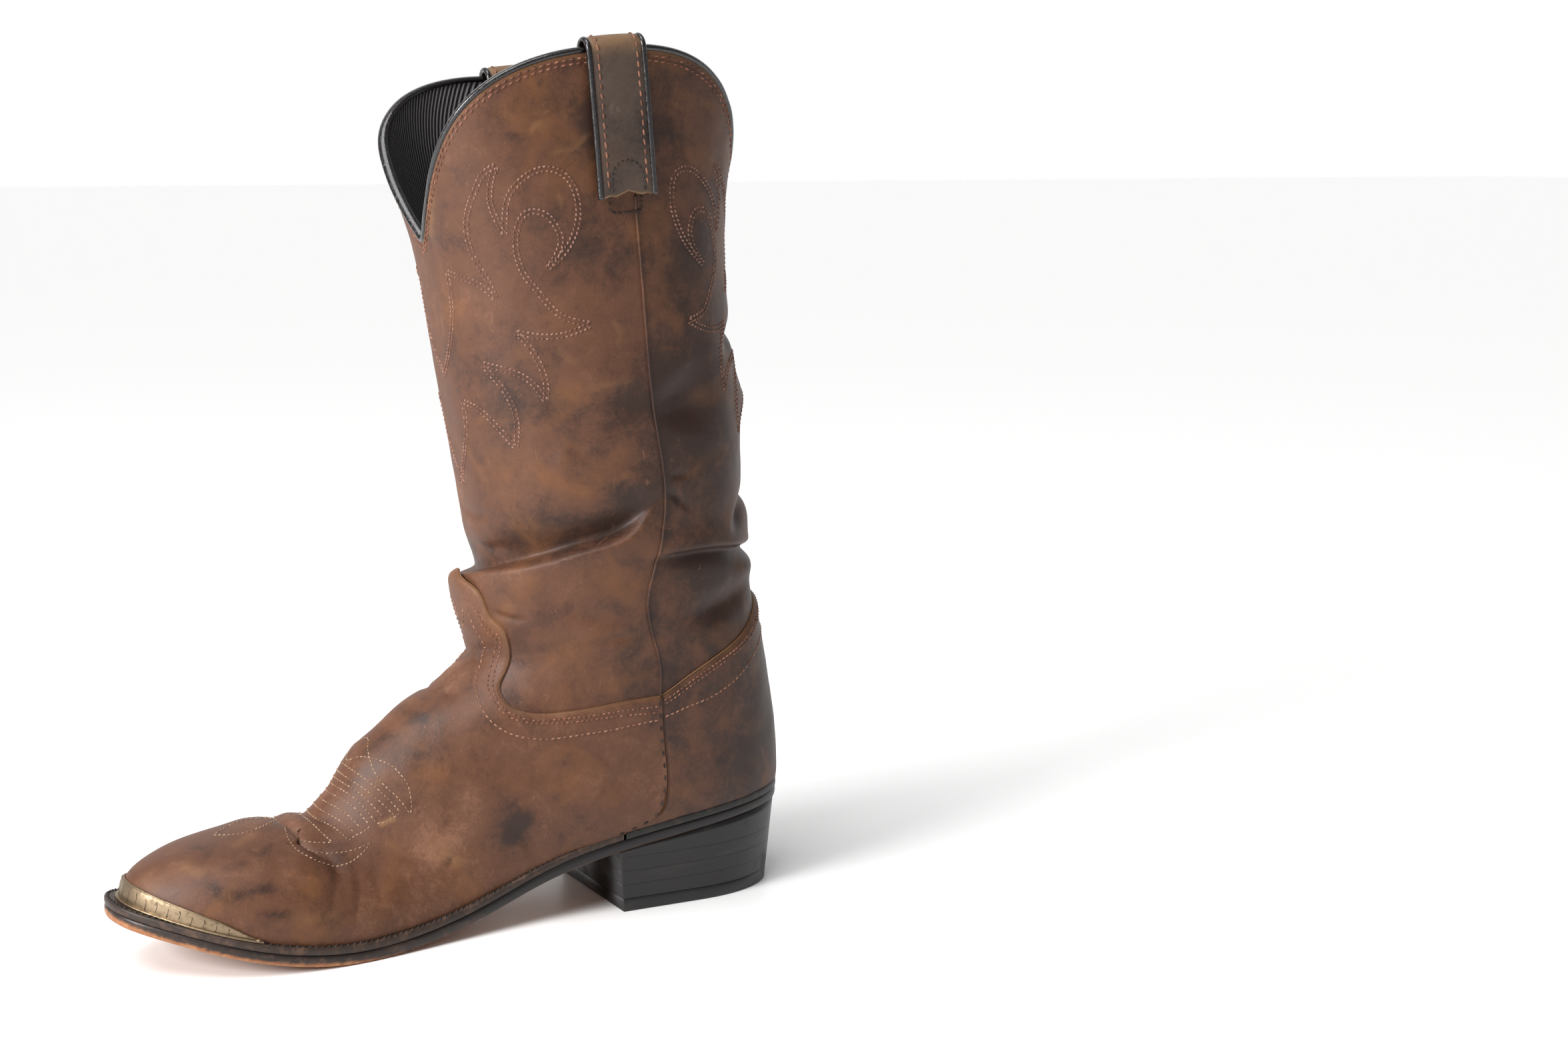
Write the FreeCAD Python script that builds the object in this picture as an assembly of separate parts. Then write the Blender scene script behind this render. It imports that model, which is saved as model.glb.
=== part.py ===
import FreeCAD, Part
import math
import os

# A western (cowboy) boot, one of a pair: the right foot. The other boot is its mirror image.
# Millimetres. +X runs to the toe, +Y to the inner side of the foot, +Z up. The heel's bottom
# and the ball of the sole stand on z = 0. Lengths along the boot are measured from the back of
# the heel and then shifted by HALF_LENGTH, so that the origin is in the middle of the boot.

os.makedirs("parts", exist_ok=True)
V = FreeCAD.Vector

HALF_LENGTH = 150.2        # back of the heel to the middle of the boot

LEATHER = 2.0              # one layer of upper leather
LINING = 0.9               # cloth lining of the shaft
GAP = 0.1                  # left between two layers that lie on each other
OUTSOLE = 5.0              # outsole leather
WELT = 3.4                 # welt leather, and the height of the filler inside it
INSOLE = 2.8
WELT_INSET = 4.0           # how far the welt reaches in under the upper
TOP_LIFT = 6.0             # rubber top lift, the one that meets the ground
LIFT = 6.4                 # one leather lift of the heel
BREAST_TOP = 90.0          # front face of the heel, at the seat
BREAST_BOTTOM = 86.5       # and at the ground
HEEL_BACK = 2.5            # the heel is cut under: its bottom starts this far in
HEEL_HALF = 34.0           # half width of the heel at the ground
STRAP_WIDTH = 24.0
STRAP_THICK = 2.2
STRAP_END = 314.5          # height of the lower end of a pull strap
STRAP_TILT = 5.0           # degrees, as the side seam leans
LEG_ASIDE = 0.6            # how far the top of the leg stands to the outer side
RAND_REACH = 250.0         # the brass toe rand covers the welt from here to the tip
FLANGE = 1.2               # top of the rand's flange, over the welt
SCREW_REACH = 3.45         # from the lower edge of the upper out to the rand's two screws

# The upper is a skin drawn over straight chords from the front ridge to the back ridge. Each
# row is one chord: front x, z; back x, z; half width; where along it the widest point is;
# squareness of the front and back halves; sideways shift of the middle.
CHORDS = [
    (183.0, 388.0, 11.0, 388.0, 58.5, 0.50, 2.4, 2.2, -0.6),
    (175.0, 340.0, 20.8, 340.0, 58.0, 0.50, 3.0, 2.2, -0.6),
    (160.3, 292.0, 26.0, 292.0, 56.2, 0.50, 2.5, 2.2, -0.2),
    (153.5, 244.0, 21.5, 244.0, 54.5, 0.50, 2.2, 2.2, 0.0),
    (146.0, 198.0, 17.0, 198.0, 52.0, 0.50, 2.2, 2.2, 0.0),
    (142.3, 162.0, 15.5, 164.0, 49.0, 0.50, 2.2, 2.2, 0.0),
    (145.6, 137.0, 11.0, 136.0, 46.5, 0.50, 2.1, 2.2, 0.0),
    (143.0, 117.0, 6.0, 109.0, 44.0, 0.51, 2.0, 2.2, 0.0),
    (157.8, 102.0, 1.0, 83.0, 42.0, 0.53, 2.0, 2.2, 0.0),
    (173.0, 94.9, -1.8, 58.0, 40.5, 0.55, 2.0, 2.2, 0.0),
    (183.0, 87.3, 1.5, 38.0, 39.5, 0.57, 2.0, 2.2, -0.2),
    (191.0, 81.0, 21.0, 31.0, 39.2, 0.59, 2.0, 2.4, -0.7),
    (198.0, 74.0, 48.0, 28.5, 38.4, 0.61, 2.0, 2.7, -1.8),
    (204.5, 63.0, 78.0, 25.0, 36.8, 0.63, 2.0, 3.0, -3.2),
    (211.0, 53.5, 108.0, 19.0, 35.8, 0.65, 2.0, 3.0, -4.2),
    (218.0, 50.3, 140.0, 7.0, 37.5, 0.67, 2.0, 3.0, -4.5),
    (226.0, 49.0, 172.0, -2.0, 41.5, 0.68, 2.0, 3.0, -4.2),
    (235.0, 49.8, 203.0, -4.5, 44.6, 0.68, 2.1, 3.0, -3.4),
    (246.0, 49.1, 232.0, -2.5, 43.4, 0.68, 2.2, 3.0, -2.2),
    (258.0, 48.0, 256.0, 3.0, 38.0, 0.68, 2.3, 3.0, -0.8),
    (271.0, 46.0, 271.0, 8.5, 31.0, 0.66, 2.3, 3.0, 0.3),
    (281.5, 43.0, 281.5, 13.0, 23.5, 0.64, 2.3, 3.0, 0.9),
    (289.3, 39.6, 289.3, 17.0, 16.0, 0.62, 2.3, 3.0, 1.2),
    (294.0, 35.6, 294.0, 19.5, 9.0, 0.60, 2.2, 3.0, 1.4),
    (295.9, 29.0, 295.9, 22.0, 2.5, 0.60, 2.2, 3.0, 1.5),
]
TOE_END = len(CHORDS) - 1.0

# Height of the top of the welt along the boot: heel seat, arch, ball, toe spring.
SEAT_LINE = [(-16.0, 47.2), (20.0, 44.8), (55.0, 41.6), (86.0, 37.0), (106.0, 32.4), (124.0, 26.6),
             (142.0, 20.0), (160.0, 14.4), (182.0, 10.2), (206.0, 8.5), (230.0, 10.2), (256.0, 15.4),
             (282.0, 23.0), (312.0, 32.6)]

RIM_DIP = 296.0            # height of the top edge at the front and back
RIM_RISE = 74.4            # how much higher the top edge is at the sides
RIM_LEAN = 4.9             # the inner side stands a little higher than the outer
RIM_SKEW = 9.0             # how much the inner side leans its peak to the back
TUCK = 8.5                 # chord where the shaft ends, hidden under the vamp and counter


def smooth(xs, ys):
    """Natural cubic spline through the points, as a function."""
    n = len(xs)
    low, mid, high, rhs = [0.0] * n, [1.0] * n, [0.0] * n, [0.0] * n
    for i in range(1, n - 1):
        before = xs[i] - xs[i - 1]
        after = xs[i + 1] - xs[i]
        low[i] = before
        mid[i] = 2 * (before + after)
        high[i] = after
        rhs[i] = 6 * ((ys[i + 1] - ys[i]) / after - (ys[i] - ys[i - 1]) / before)
    for i in range(1, n):
        w = low[i] / mid[i - 1]
        mid[i] -= w * high[i - 1]
        rhs[i] -= w * rhs[i - 1]
    bend = [0.0] * n
    for i in range(n - 2, 0, -1):
        bend[i] = (rhs[i] - high[i] * bend[i + 1]) / mid[i]

    def value(x):
        i = 0
        while i < n - 2 and xs[i + 1] < x:
            i += 1
        h = xs[i + 1] - xs[i]
        a = (xs[i + 1] - x) / h
        b = (x - xs[i]) / h
        curve = (a ** 3 - a) * bend[i] + (b ** 3 - b) * bend[i + 1]
        return a * ys[i] + b * ys[i + 1] + curve * h * h / 6
    return value


COLUMNS = [smooth(range(len(CHORDS)), [row[i] for row in CHORDS]) for i in range(9)]
seat = smooth([p[0] for p in SEAT_LINE], [p[1] for p in SEAT_LINE])


def solve(test, low, high):
    """The value between low and high where test turns from true to false."""
    for _ in range(40):
        middle = (low + high) / 2
        if test(middle):
            low = middle
        else:
            high = middle
    return (low + high) / 2


def bare(s, angle):
    """Point on the skin at chord s; the angle is 0 at the front ridge and 180 at the back."""
    fx, fz, bx, bz, wide, level, front, back, shift = [c(s) for c in COLUMNS]
    c, n = math.cos(angle), math.sin(angle)
    square = 2.0 / (front if c > 0 else back)
    along = abs(c) ** square
    t = level * (1 - along) if c > 0 else level + (1 - level) * along
    y = math.copysign(abs(n) ** square, n) * wide + shift
    return fx + (bx - fx) * t, y, fz + (bz - fz) * t


def skin(s, angle, out=0.0):
    """Point at a distance outside (or, when negative, inside) the skin."""
    e = 1e-3
    p = bare(s, angle)
    lo, hi = bare(max(s - e, 0.0), angle), bare(min(s + e, TOE_END), angle)
    left, right = bare(s, angle - e), bare(s, angle + e)
    a = [hi[i] - lo[i] for i in range(3)]
    b = [right[i] - left[i] for i in range(3)]
    n = (a[1] * b[2] - a[2] * b[1], a[2] * b[0] - a[0] * b[2], a[0] * b[1] - a[1] * b[0])
    size = math.sqrt(n[0] ** 2 + n[1] ** 2 + n[2] ** 2)
    k = out / size
    return V(p[0] + n[0] * k - HALF_LENGTH, p[1] + n[1] * k, p[2] + n[2] * k)


def angle_at(s, t):
    """Angle of the skin point that is the fraction t of the way down chord s."""
    level, front, back = COLUMNS[5](s), COLUMNS[6](s), COLUMNS[7](s)
    if t < level:
        return math.acos((1 - t / level) ** (front / 2))
    return math.acos(-((t - level) / (1 - level)) ** (back / 2))


def rim_height(angle):
    side = math.sin(angle)
    skew = RIM_SKEW * max(side, 0.0) * math.cos(angle)
    return RIM_DIP + RIM_RISE * abs(side) ** 0.9 + RIM_LEAN * side - skew


def rim_chord(angle, below=0.0):
    """Chord of the top edge at this angle, or of a line a little below it."""
    return solve(lambda s: COLUMNS[1](s) > rim_height(angle) - below, 0.0, 3.0)


def sheet(place, low, high, across=36, along=24):
    """A closed sheet between two distances from the skin. place(u, v) gives chord and angle."""
    faces, borders = [], []
    for out in (low, high):
        rows = []
        for i in range(across + 1):
            row = []
            for j in range(along + 1):
                s, angle = place(i / across, j / along)
                row.append(skin(s, angle, out))
            rows.append(row)
        surface = Part.BSplineSurface()
        surface.interpolate(rows)
        faces.append(surface.toShape())
        u0, u1, v0, v1 = surface.bounds()
        borders.append([surface.uIso(u0), surface.uIso(u1), surface.vIso(v0), surface.vIso(v1)])
    for inner, outer in zip(*borders):
        faces.append(Part.makeRuledSurface(inner.toShape(), outer.toShape()))
    shell = Part.makeShell(faces)
    shell.sewShape()
    solid = Part.Solid(Part.Shell(shell.Faces))
    if solid.Volume < 0:
        solid.reverse()
    return solid


def side_shape(points):
    """A prism right across the boot, from an outline seen from the side."""
    corners = [V(x - HALF_LENGTH, -120, z) for x, z in points]
    wire = Part.makePolygon(corners + [corners[0]])
    return Part.Face(wire).extrude(V(0, 240, 0))


def layer(low, high, steps=20):
    """Everything between two heights that follow the seat line."""
    x0, x1 = SEAT_LINE[0][0], SEAT_LINE[-1][0]
    xs = [x0 + (x1 - x0) * i / steps for i in range(steps + 1)]
    edges = []
    for height in (low, high):
        curve = Part.BSplineCurve()
        curve.interpolate([V(x - HALF_LENGTH, -120, seat(x) + height) for x in xs])
        edges.append(curve.toShape())
    a, b = edges
    edges.append(Part.makeLine(a.Vertexes[0].Point, b.Vertexes[0].Point))
    edges.append(Part.makeLine(a.Vertexes[-1].Point, b.Vertexes[-1].Point))
    wire = Part.Wire(Part.__sortEdges__(edges))
    return Part.Face(wire).extrude(V(0, 240, 0))


def over_seat(s, t):
    """Height over the seat line, and x, of the point at the fraction t of chord s."""
    fx, fz, bx, bz = [COLUMNS[i](s) for i in range(4)]
    x = fx + (bx - fx) * t
    return fz + (bz - fz) * t - seat(x), x


HEEL_CHORD = solve(lambda s: over_seat(s, 1.0)[0] > 0, 8.0, 11.0)
TIP_CHORD = solve(lambda s: over_seat(s, 0.0)[0] > 0, 21.0, TOE_END)


def plan_points(spread, count=22):
    """The lower edge of the upper seen from above, moved outward by spread(x)."""
    near, far = [], []
    for k in range(1, count):
        share = k / count
        s = HEEL_CHORD + (TIP_CHORD - HEEL_CHORD) * share ** 1.7
        t = solve(lambda t: over_seat(s, t)[0] > 0, 0.0, 1.0)
        for edge, side in ((near, 1), (far, -1)):
            edge.append(bare(s, side * angle_at(s, t))[:2])
    heel = (over_seat(HEEL_CHORD, 1.0)[1], 0.0)
    tip = (over_seat(TIP_CHORD, 0.0)[1], COLUMNS[8](TIP_CHORD))
    loop = [heel] + near + [tip] + far[::-1]
    moved = []
    for i, (x, y) in enumerate(loop):
        x0, y0 = loop[i - 1]
        x1, y1 = loop[(i + 1) % len(loop)]
        k = spread(x) / math.hypot(x1 - x0, y1 - y0)
        moved.append((x - (y1 - y0) * k, y + (x1 - x0) * k))
    return moved


def plan_prism(spread, bottom=-20.0, top=90.0):
    points = [V(x - HALF_LENGTH, y, bottom) for x, y in plan_points(spread)]
    curve = Part.BSplineCurve()
    curve.interpolate(points, PeriodicFlag=True)
    return Part.Face(Part.Wire(curve.toShape())).extrude(V(0, 0, top - bottom))


def box(x0, x1, y0=-120.0, y1=120.0, z0=-30.0, z1=420.0):
    return Part.makeBox(x1 - x0, y1 - y0, z1 - z0, V(x0 - HALF_LENGTH, y0, z0))


def save(name, shape):
    solids = [s for s in shape.Solids if s.Volume > 1.0]
    part = solids[0] if len(solids) == 1 else Part.makeCompound(solids)
    part.exportStep("parts/" + name + ".step")
    size = part.BoundBox
    print("%-26s solids %d valid %s volume %8.0f  x %.1f..%.1f y %.1f..%.1f z %.1f..%.1f" % (
        name, len(solids), part.isValid(), part.Volume, size.XMin, size.XMax, size.YMin, size.YMax,
        size.ZMin, size.ZMax))


# === the pieces

sole_edge = smooth([-20.0, 20.0, 60.0, 100.0, 150.0, 200.0, 260.0, 284.0, 296.0, 320.0],
                   [1.5, 1.5, 1.6, 2.4, 4.0, 4.7, 4.8, 6.0, 8.6, 8.6])
above_seat = layer(GAP, 160.0)
sole_outline = plan_prism(sole_edge)

# --- sole

outsole = sole_outline.common(layer(-WELT - OUTSOLE, -WELT))
save("outsole", outsole)

ring = sole_outline.cut(plan_prism(lambda x: -WELT_INSET)).common(layer(-WELT + 0.05, 0.0))
welt = ring.common(box(BREAST_TOP - 3.9, 320.0))
save("heel_rand", ring.common(box(-20.0, BREAST_TOP - 4.0)))

SHANK = (30.0, 168.0, 7.0)          # back end, front end, half width
shank_slot = box(SHANK[0] - 0.3, SHANK[1] + 0.3, -SHANK[2] - 2.3, SHANK[2] - 1.7)
inside_welt = plan_prism(lambda x: -WELT_INSET - 0.1)
save("cork_filler", inside_welt.common(layer(-WELT + 0.05, -0.1)).cut(shank_slot))
save("steel_shank", layer(-WELT + 0.1, -WELT + 1.8).common(
    box(SHANK[0], SHANK[1], -SHANK[2] - 2.0, SHANK[2] - 2.0)))
save("insole", plan_prism(lambda x: -3.0).common(layer(0.0, INSOLE)))
save("sock_liner", plan_prism(lambda x: -3.8).common(layer(INSOLE + 0.05, INSOLE + 1.6)).common(
    box(-20.0, 112.0)))

# --- heel: a rubber top lift, leather lifts and a wedge that takes up the slope of the seat


def heel_wire(z, points, breast):
    points = [(x, y) for x, y in points if x < breast - 6.0]
    start = (breast, points[0][1])
    end = (breast, points[-1][1])
    around = [V(x - HALF_LENGTH, y, z) for x, y in [start] + points + [end]]
    curve = Part.BSplineCurve()
    curve.interpolate(around)
    return Part.Wire([curve.toShape(), Part.makeLine(around[-1], around[0])])


def ground_outline(count=17):
    points = []
    for k in range(count):
        a = math.pi * (k / (count - 1) - 0.5)
        x = HEEL_BACK + 46.0 * (1 - abs(math.cos(a)) ** 0.95)
        points.append((x, math.copysign(abs(math.sin(a)) ** 0.95, a) * HEEL_HALF))
    return [(BREAST_BOTTOM - 18.0, -HEEL_HALF)] + points + [(BREAST_BOTTOM - 18.0, HEEL_HALF)]


def seat_outline():
    loop = plan_points(lambda x: 1.2)
    half = len(loop) // 2
    near = [p for p in loop[1:half] if p[0] < BREAST_TOP - 8.0]
    far = [p for p in loop[half + 1:] if p[0] < BREAST_TOP - 8.0]
    return far + [loop[0]] + near


def even(points, count=19):
    """The same run of points, spaced evenly along its length."""
    reach = [0.0]
    for a, b in zip(points, points[1:]):
        reach.append(reach[-1] + math.hypot(b[0] - a[0], b[1] - a[1]))
    fx = smooth(reach, [p[0] for p in points])
    fy = smooth(reach, [p[1] for p in points])
    steps = [reach[-1] * k / (count - 1) for k in range(count)]
    return [(fx(r), fy(r)) for r in steps]


SEAT_TOP = 46.0
stack = Part.makeLoft([heel_wire(0.0, even(ground_outline()), BREAST_BOTTOM),
                       heel_wire(SEAT_TOP, even(seat_outline()), BREAST_TOP)], True, True)
stack = stack.common(layer(-80.0, -WELT - OUTSOLE - 0.05))

nails = []
for x, y in ((14.0, 0.0), (24.0, 18.0), (24.0, -18.0), (46.0, 25.0), (46.0, -25.0), (70.0, 26.0), (70.0, -26.0),
             (76.0, 9.0), (76.0, -9.0)):
    nails.append(Part.makeCylinder(1.2, TOP_LIFT - 0.5, V(x - HALF_LENGTH, y, 0.3)))
holes = [Part.makeCylinder(1.25, TOP_LIFT + 1, V(n.BoundBox.Center.x, n.BoundBox.Center.y, -0.5)) for n in nails]
save("heel_top_lift", stack.common(box(-20, 120, z1=TOP_LIFT)).cut(Part.makeCompound(holes)))
save("heel_nails", Part.makeCompound(nails))
level = TOP_LIFT
for number in range(1, 4):
    save("heel_lift_%d" % number, stack.common(box(-20, 120, z0=level + 0.05, z1=level + LIFT)))
    level += LIFT
save("heel_wedge", stack.common(box(-20, 120, z0=level + 0.05)))

# --- foot of the upper

LAP = [(170.0, 155.0), (150.5, 153.0), (143.0, 149.0), (140.0, 142.0), (138.5, 132.5), (134.6, 126.5),
       (135.2, 121.0), (138.6, 112.4), (140.4, 105.5), (138.2, 100.6), (130.0, 95.0), (117.0, 94.0),
       (102.0, 93.6), (84.3, 97.2), (75.8, 99.5)]
SEAM = [(75.8, 99.5), (71.5, 80.0), (68.5, 62.0), (69.0, 50.0), (72.0, 36.0), (74.0, 15.0)]
COLLAR = [(75.8, 99.5), (56.0, 107.5), (30.0, 121.0), (14.0, 130.5), (4.0, 136.0), (-20.0, 138.0)]


def moved(points, dx):
    return [(x + dx, z) for x, z in points]


front_side = side_shape(LAP + SEAM[1:] + [(330.0, -25.0), (330.0, 155.0)])
back_side = side_shape(moved(SEAM[::-1] + COLLAR[1:], -0.2) + [(-20.0, 10.0)])


def foot_limit(s):
    """How far round from the ridge the front of the upper reaches."""
    return math.radians(104 + 46 / (1 + math.exp(-(s - 9.8) * 1.3)))


def run(start, end, limit):
    return lambda u, v: (start + v * (end - start), (2 * u - 1) * limit(start + v * (end - start)))


def back_run(start, end, angle):
    return lambda u, v: (start + v * (end - start), math.radians(angle + u * (360 - 2 * angle)))


save("vamp", sheet(run(5.0, TOE_END, foot_limit), GAP, LEATHER - GAP, 40, 46).common(above_seat).common(
    front_side))
save("vamp_lining", sheet(run(TUCK + 0.05, 19.0, foot_limit), -LEATHER, 0.0, 36, 30).common(
    above_seat).common(front_side))
save("toe_puff", sheet(run(19.03, TOE_END, foot_limit), -LEATHER, 0.0, 36, 20).common(above_seat))
save("counter_cover", sheet(back_run(5.6, 12.8, 76.0), GAP, LEATHER - GAP, 40, 28).common(
    above_seat).common(back_side))
save("counter_stiffener", sheet(back_run(TUCK + 0.05, 12.8, 76.0), -LEATHER, 0.0, 40, 20).common(
    above_seat).common(back_side))

# --- brass toe rand: a band against the toe and a flange on the welt, with a screw at each end

band_top = [(RAND_REACH + 6, 1.6), (RAND_REACH + 9, 3.4), (RAND_REACH + 16, 5.8), (RAND_REACH + 26, 7.2),
            (RAND_REACH + 40, 8.4), (316.0, 10.4)]
band_side = side_shape([(x, seat(min(x, 312.0)) + h) for x, h in band_top]
                       + [(316.0, 0.0), (RAND_REACH + 6, 0.0)])
band = sheet(run(17.0, TOE_END, foot_limit), LEATHER, LEATHER + 1.1, 40, 30).common(layer(GAP, 30.0)).common(
    band_side)
flange = plan_prism(lambda x: min(sole_edge(x) - 0.4, 4.3)).cut(plan_prism(lambda x: LEATHER + 0.15)).common(
    layer(GAP, FLANGE)).common(box(RAND_REACH, 320.0))
rand = band.fuse(flange)
screws, drills = [], []
screw_points = plan_points(lambda x: SCREW_REACH)
x = RAND_REACH + 2.2
slope = math.degrees(math.atan(seat(x + 0.5) - seat(x - 0.5)))
for side in (1, -1):
    nearby = sorted((p for p in screw_points if p[1] * side > 0), key=lambda p: abs(p[0] - x))[:2]
    (xa, ya), (xb, yb) = nearby
    place = V(x - HALF_LENGTH, ya + (yb - ya) * (x - xa) / (xb - xa), seat(x) + FLANGE)
    dome = Part.makeSphere(1.55).common(Part.makeBox(4, 4, 2, V(-2, -2, 1.1)))
    dome.translate(V(0, 0, -1.05))
    pin = Part.makeCylinder(0.7, 3.6, V(0, 0, -3.5))
    drill = Part.makeCylinder(0.8, 8.0, V(0, 0, -3.8))
    for shape in (dome, pin, drill):
        shape.rotate(V(0, 0, 0), V(0, 1, 0), -slope)
        shape.translate(place)
    screws.append(dome.fuse(pin))
    drills.append(drill)
drills = Part.makeCompound(drills)
save("toe_rand", rand.cut(drills))
save("toe_rand_screws", Part.makeCompound(screws))
save("welt", welt.cut(drills))

# --- shaft: two panels joined at the sides, a cloth lining, binding, side piping and pull straps

seam_share = smooth([0.0, 3.0, 5.0, 6.3, 7.6, 9.0], [0.555, 0.555, 0.55, 0.515, 0.51, 0.505])
TOP_SEAM = angle_at(1.0, 0.555)
CRACK = 0.006                        # half the angle left open between the panels


def panel(front, lift=0.0, base=TUCK, crack=CRACK):
    def place(u, v):
        def angle(s):
            seam = angle_at(s, seam_share(s))
            if front:
                return (2 * u - 1) * (seam - crack)
            return seam + crack + u * (2 * math.pi - 2 * seam - 2 * crack)
        top = rim_chord(angle(1.0)) + lift
        s = top + v * (base - top)
        return s, angle(s)
    return place


def rim_strip(front, start, end):
    def place(u, v):
        seam = TOP_SEAM + CRACK
        angle = (2 * u - 1) * (seam - 2 * CRACK) if front else seam + u * (2 * math.pi - 2 * seam)
        return rim_chord(angle) + start + v * (end - start), angle
    return place


for front, name in ((True, "front"), (False, "back")):
    save("shaft_%s_panel" % name, sheet(panel(front), -LEATHER, 0.0, 48, 40))
    save("lining_%s" % name, sheet(panel(front, 0.01), -LEATHER - GAP - LINING, -LEATHER - GAP, 48, 40))
    hull = sheet(rim_strip(front, -0.02, 0.08), -LEATHER - GAP - LINING - 0.9, 0.9, 48, 4)
    core = sheet(rim_strip(front, -0.003, 0.3), -LEATHER - 2 * GAP - LINING, GAP, 48, 4)
    save("top_binding_%s" % name, hull.cut(core))


def piping(side):
    def place(u, v):
        s = 1.72 + v * (7.3 - 1.72)
        return s, side * (angle_at(s, seam_share(s)) + (2 * u - 1) * 0.028)
    return place


for side, name in ((1, "inner"), (-1, "outer")):
    save("side_piping_%s" % name, sheet(piping(side), GAP, LEATHER, 4, 40))


def strap_profile(side, thick):
    """Outline, across the boot, of a strap that comes up the outside, over the edge and down inside."""
    def wall(z):
        return COLUMNS[4](solve(lambda s: COLUMNS[1](s) > z, 0.0, 4.0))
    out, back = 2.35, 6.7
    hinge = RIM_DIP + RIM_RISE + side * RIM_LEAN - (0.7 if side > 0 else 0.0)
    middle = [(wall(z) + out, z) for z in (STRAP_END, 325.0, 345.0, 360.0)]
    radius = (out + back) / 2
    centre = wall(hinge) + out - radius
    middle += [(centre + radius * math.cos(a), hinge + radius * math.sin(a))
               for a in [math.pi * k / 10 for k in range(11)]]
    middle += [(wall(z) - back, z) for z in (360.0, 345.0, 325.0, STRAP_END + 4.0)]
    left, right = [], []
    for i, (y, z) in enumerate(middle):
        y0, z0 = middle[max(i - 1, 0)]
        y1, z1 = middle[min(i + 1, len(middle) - 1)]
        k = thick / 2 / math.hypot(y1 - y0, z1 - z0)
        left.append((y + (z1 - z0) * k, z - (y1 - y0) * k))
        right.append((y - (z1 - z0) * k, z + (y1 - y0) * k))
    aside = 0.0 if side > 0 else 2 * LEG_ASIDE
    return [(side * (y + aside), z) for y, z in left + right[::-1]]


def strap(side, x0, x1, thick):
    points = [V(x0 - HALF_LENGTH, y, z) for y, z in strap_profile(side, thick)]
    shape = Part.Face(Part.makePolygon(points + [points[0]])).extrude(V(x1 - x0, 0, 0))
    shape.rotate(V(96.0 - HALF_LENGTH, 0, 345.0), V(0, 1, 0), STRAP_TILT)
    return shape


for side, name in ((1, "inner"), (-1, "outer")):
    low, high = 96.0 - STRAP_WIDTH / 2, 96.0 + STRAP_WIDTH / 2
    save("pull_strap_%s" % name, strap(side, low, high, STRAP_THICK))
    save("pull_strap_piping_%s" % name, Part.makeCompound(
        [strap(side, low - 2.3, low - GAP, STRAP_THICK - 0.1), strap(side, high + GAP, high + 2.3, STRAP_THICK - 0.1)]))
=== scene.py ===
import math
import bpy
import numpy as np
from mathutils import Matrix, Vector


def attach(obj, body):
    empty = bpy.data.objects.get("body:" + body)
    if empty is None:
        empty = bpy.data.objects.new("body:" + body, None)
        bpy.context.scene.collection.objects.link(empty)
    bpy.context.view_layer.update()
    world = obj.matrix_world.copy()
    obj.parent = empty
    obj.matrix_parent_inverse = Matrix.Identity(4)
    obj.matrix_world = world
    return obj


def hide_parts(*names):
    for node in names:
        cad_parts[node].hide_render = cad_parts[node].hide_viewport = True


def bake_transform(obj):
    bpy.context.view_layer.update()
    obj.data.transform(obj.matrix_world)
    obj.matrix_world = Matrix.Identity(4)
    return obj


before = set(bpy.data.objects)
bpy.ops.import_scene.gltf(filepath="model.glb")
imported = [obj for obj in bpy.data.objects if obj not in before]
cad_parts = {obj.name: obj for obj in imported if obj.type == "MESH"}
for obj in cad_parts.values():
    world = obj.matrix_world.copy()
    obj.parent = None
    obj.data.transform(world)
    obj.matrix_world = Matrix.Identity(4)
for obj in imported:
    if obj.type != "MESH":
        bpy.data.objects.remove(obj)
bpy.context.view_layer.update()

# A western boot. Lengths in this script are millimetres until mesh() turns them into metres.
# The skin of the upper is the same one that the frame is built on: straight chords from the
# front ridge to the back ridge. Each row: front x, z; back x, z; half width; where the widest
# point is; squareness in front and behind; sideways shift of the middle.
HALF_LENGTH = 150.2
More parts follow.
